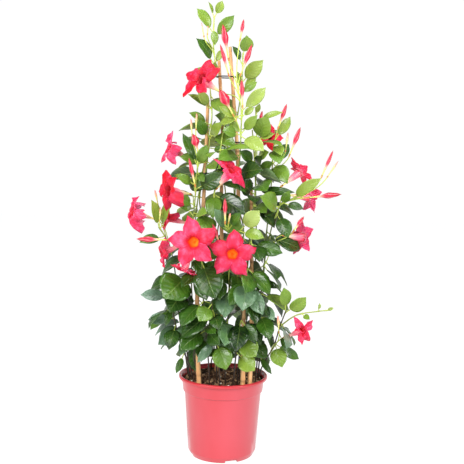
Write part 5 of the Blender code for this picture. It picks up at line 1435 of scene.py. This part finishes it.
def make_bloom(name, petal_sheet, funnel_sheet):
    """An open flower: its trumpet and its lobes, in the bloom's own frame."""
    chance = random.Random(HABITS[name][3])
    throat, facing, width, turn, _, _ = BLOOMS[name]
    throat, width = Vector(metres(throat)), metres(width)
    axis, first, second = bloom_frame(facing, turn)

    def place_at(angle, reach, rise):
        return throat + first * (math.cos(angle) * reach) + second * (math.sin(angle) * reach) + axis * rise

    shape = bmesh.new()
    shape.loops.layers.uv.new("blade")
    layer = shape.verts.layers.float.new("shade")
    add_funnel(shape, funnel_sheet, place_at, width, layer, 0.0 if name in DEEP_RED else 0.5)
    shades = (0.0, 0.35) if name in DEEP_RED else (0.9, 1.0) if name in PALE_PINK else (0.35, 1.0)
    for lobe in range(LOBE_COUNT):
        add_petal(shape, petal_sheet, place_at, width, lobe, layer, HABITS[name], shades, chance)
    bmesh.ops.remove_doubles(shape, verts=shape.verts, dist=3e-6)
    skins = [SKINS[side] for side in ("face", "back", "outside", "inside")]
    finished(name + "_flower", shape, skins, name)


def add_bud(shape, template, foot, tip, widest, layers):
    """A furled bud: five folds wound round a pointed spindle."""
    verts, _ = append_mesh(shape, template)
    way = tip - foot
    axis = way.normalized()
    first = axis.orthogonal().normalized()
    second = axis.cross(first)
    slim = widest < SLIM_BUD
    if slim:
        stops = [(0.0, 0.0010), (0.20, 0.0010), (0.62, widest), (0.85, widest * 0.7), (1.0, 0.0002)]
    else:
        stops = [(0.0, 0.0012), (0.18, 0.0014), (0.34, 0.0019), (0.62, widest), (0.84, widest * 0.66), (1.0, 0.0002)]
    along_layer, fold_layer, young_layer = layers
    for vert in verts:
        turn, share = vert.co.x, vert.co.y
        reach = along_line(stops, share)
        if share < 1e-6 or share > 1 - 1e-6:
            reach = 0.0
        swirl = 5 * math.tau * turn - share * 5.5
        ridge = (swirl / math.tau) % 1.0
        body = graded_smooth(0.3, 0.55, share)
        vert.co = foot + way * share + (first * math.cos(math.tau * turn) + second * math.sin(math.tau * turn)) * (
            reach * (1 + 0.13 * body * (ridge - 0.5)))
        vert[along_layer] = share
        vert[fold_layer] = body * graded_smooth(0.62, 0.98, ridge)
        vert[young_layer] = 1.0 if slim else 0.0


def make_buds(name, buds, template):
    shape = bmesh.new()
    layers = [shape.verts.layers.float.new(key) for key in ("along", "fold", "young")]
    for foot, tip, widest in buds:
        add_bud(shape, template, foot, tip, widest, layers)
    bmesh.ops.remove_doubles(shape, verts=shape.verts, dist=3e-6)
    bmesh.ops.recalc_face_normals(shape, faces=shape.faces)
    finished(name + "_buds", shape, [SKINS["bud"]], name)


# ================================================================ the plant
SKINS = dict(
    stem=stem_skin(), calyx=calyx_skin(), upper=leaf_upper(), under=leaf_under(), face=petal_face(),
    back=petal_back(), outside=corolla_outside(), inside=corolla_inside(), bud=bud_skin())


def make_plant():
    """Every piece: pot, soil, canes and ties, then each stem with its leaves and buds, then the blooms."""
    canes = {name: smooth_route(metres(points), CANE_STEP) for name, points in CANE_ROUTES.items()}
    stems = {name: main_route(vine, canes) for name, vine in VINES.items()}
    shoots = {name: [smooth_route(metres(shoot), STEM_STEP) for shoot in vine.get("shoots", [])]
              for name, vine in VINES.items()}
    leaves = []
    single_leaves(stems, shoots, leaves)
    rule_leaves(stems, leaves)

    make_pot()
    make_soil()
    make_chips()
    make_canes(canes)
    make_ties()

    blade_sheets = {
        False: grid_mesh("front_sheet", 8, 12, BLADE_SHEET), True: grid_mesh("plain_sheet", 4, 8, BLADE_SHEET)}
    petal_sheet = grid_mesh("petal_sheet", 16, 10, BLADE_SHEET)
    funnel_sheet = grid_mesh("funnel_sheet", 40, 36)
    bud_sheet = grid_mesh("bud_sheet", 30, 18)
    for name in VINES:
        lines = [smooth_route(line, 0.004) for line in [stems[name]] + shoots[name]]
        own_leaves = [leaf for leaf in leaves if leaf["owner"] == name]
        stalks = []
        buds = []
        for throat, facing, _, _, vine, height in BLOOMS.values():
            if vine == name:
                way = Vector(facing).normalized()
                foot = Vector(metres(throat)) - way * TUBE_LENGTH
                stalks.append((stalk_route(stems[name], metres(height), foot, way), way, TUBE_RADIUS))
        for vine, height, foot, tip, widest in BUDS:
            if vine == name:
                foot, tip, height, widest = Vector(metres(foot)), Vector(metres(tip)), metres(height), metres(widest)
                way = (tip - foot).normalized()
                cup = BUD_CUP if widest > SLIM_BUD else SLIM_BUD_CUP
                stalks.append((stalk_route(stems[name], height, foot, way), way, cup))
                buds.append((foot, tip, widest))
        make_stems(name, lines, own_leaves, stalks)
        make_leaves(name, own_leaves, blade_sheets)
        if buds:
            make_buds(name, buds, bud_sheet)
    for name in BLOOMS:
        make_bloom(name, petal_sheet, funnel_sheet)


make_plant()

# ================================================================ floor, light and camera
CAMERA_PLACE = (0.0115, -1.503, 0.567)
FOCAL_LENGTH = 62.07
# The camera's tilt and roll in degrees.
LOOKING_DOWN = 5.32
CAMERA_ROLL = 1.17
# Square lights: name, place, the point each is turned to, side in metres, watts.
LIGHTS = [
    ("left", (-1.4, -1.4, 1.3), (0.0, 0.0, 0.42), 0.8, 38.0),
    ("right", (1.4, -1.4, 1.2), (0.0, 0.0, 0.40), 0.8, 33.0),
    ("front", (-0.5, -2.2, 0.8), (0.08, 0.0, 0.42), 0.6, 18.0),
    ("top", (0.2, -0.5, 2.2), (0.0, 0.0, 0.50), 0.8, 26.0),
]


def make_stage():
    """A white floor, a room bright in front and dim behind, soft lights, and the camera."""
    shape = bmesh.new()
    bmesh.ops.create_grid(shape, x_segments=1, y_segments=1, size=6.0)
    floor = linked("floor", as_mesh("floor", shape))
    white = Finish(
        "floor_white", (0.16, 0.16, 0.16), 1.0, Specular_IOR_Level=0.0, Emission_Color=(1.0, 1.0, 1.0, 1.0),
        Emission_Strength=0.96)
    floor.data.materials.append(white.material)

    world = bpy.data.worlds.new("studio")
    bpy.context.scene.world = world
    world.use_nodes = True
    tree = world.node_tree
    background = tree.nodes["Background"]
    sky = tree.nodes.new("ShaderNodeTexCoord")
    toward = tree.nodes.new("ShaderNodeVectorMath")
    toward.operation = "DOT_PRODUCT"
    toward.inputs[1].default_value = (0.0, 0.75, -0.90)
    ramp = tree.nodes.new("ShaderNodeValToRGB")
    tree.links.new(sky.outputs["Generated"], toward.inputs[0])
    tree.links.new(toward.outputs["Value"], ramp.inputs["Fac"])
    tree.links.new(ramp.outputs["Color"], background.inputs["Color"])
    dim, bright = ramp.color_ramp.elements
    dim.position, dim.color = 0.08, (0.19, 0.20, 0.22, 1.0)
    bright.position, bright.color = 0.50, (1.0, 1.0, 1.0, 1.0)
    background.inputs["Strength"].default_value = 1.02

    for name, place, aim, size, power in LIGHTS:
        light = bpy.data.lights.new(name, "AREA")
        light.size = size
        light.energy = power
        holder = linked(name, light)
        holder.location = place
        holder.rotation_euler = (Vector(aim) - Vector(place)).to_track_quat("-Z", "Y").to_euler()

    lens = bpy.data.cameras.new("camera")
    lens.lens = FOCAL_LENGTH
    lens.sensor_width = 36.0
    camera = linked("camera", lens)
    tilt = Euler((math.radians(90 - LOOKING_DOWN), 0.0, 0.0)).to_matrix().to_4x4()
    roll = Matrix.Rotation(math.radians(CAMERA_ROLL), 4, "Z")
    camera.matrix_world = Matrix.Translation(CAMERA_PLACE) @ tilt @ roll
    bpy.context.scene.camera = camera
    bpy.context.scene.view_settings.view_transform = "Standard"


make_stage()
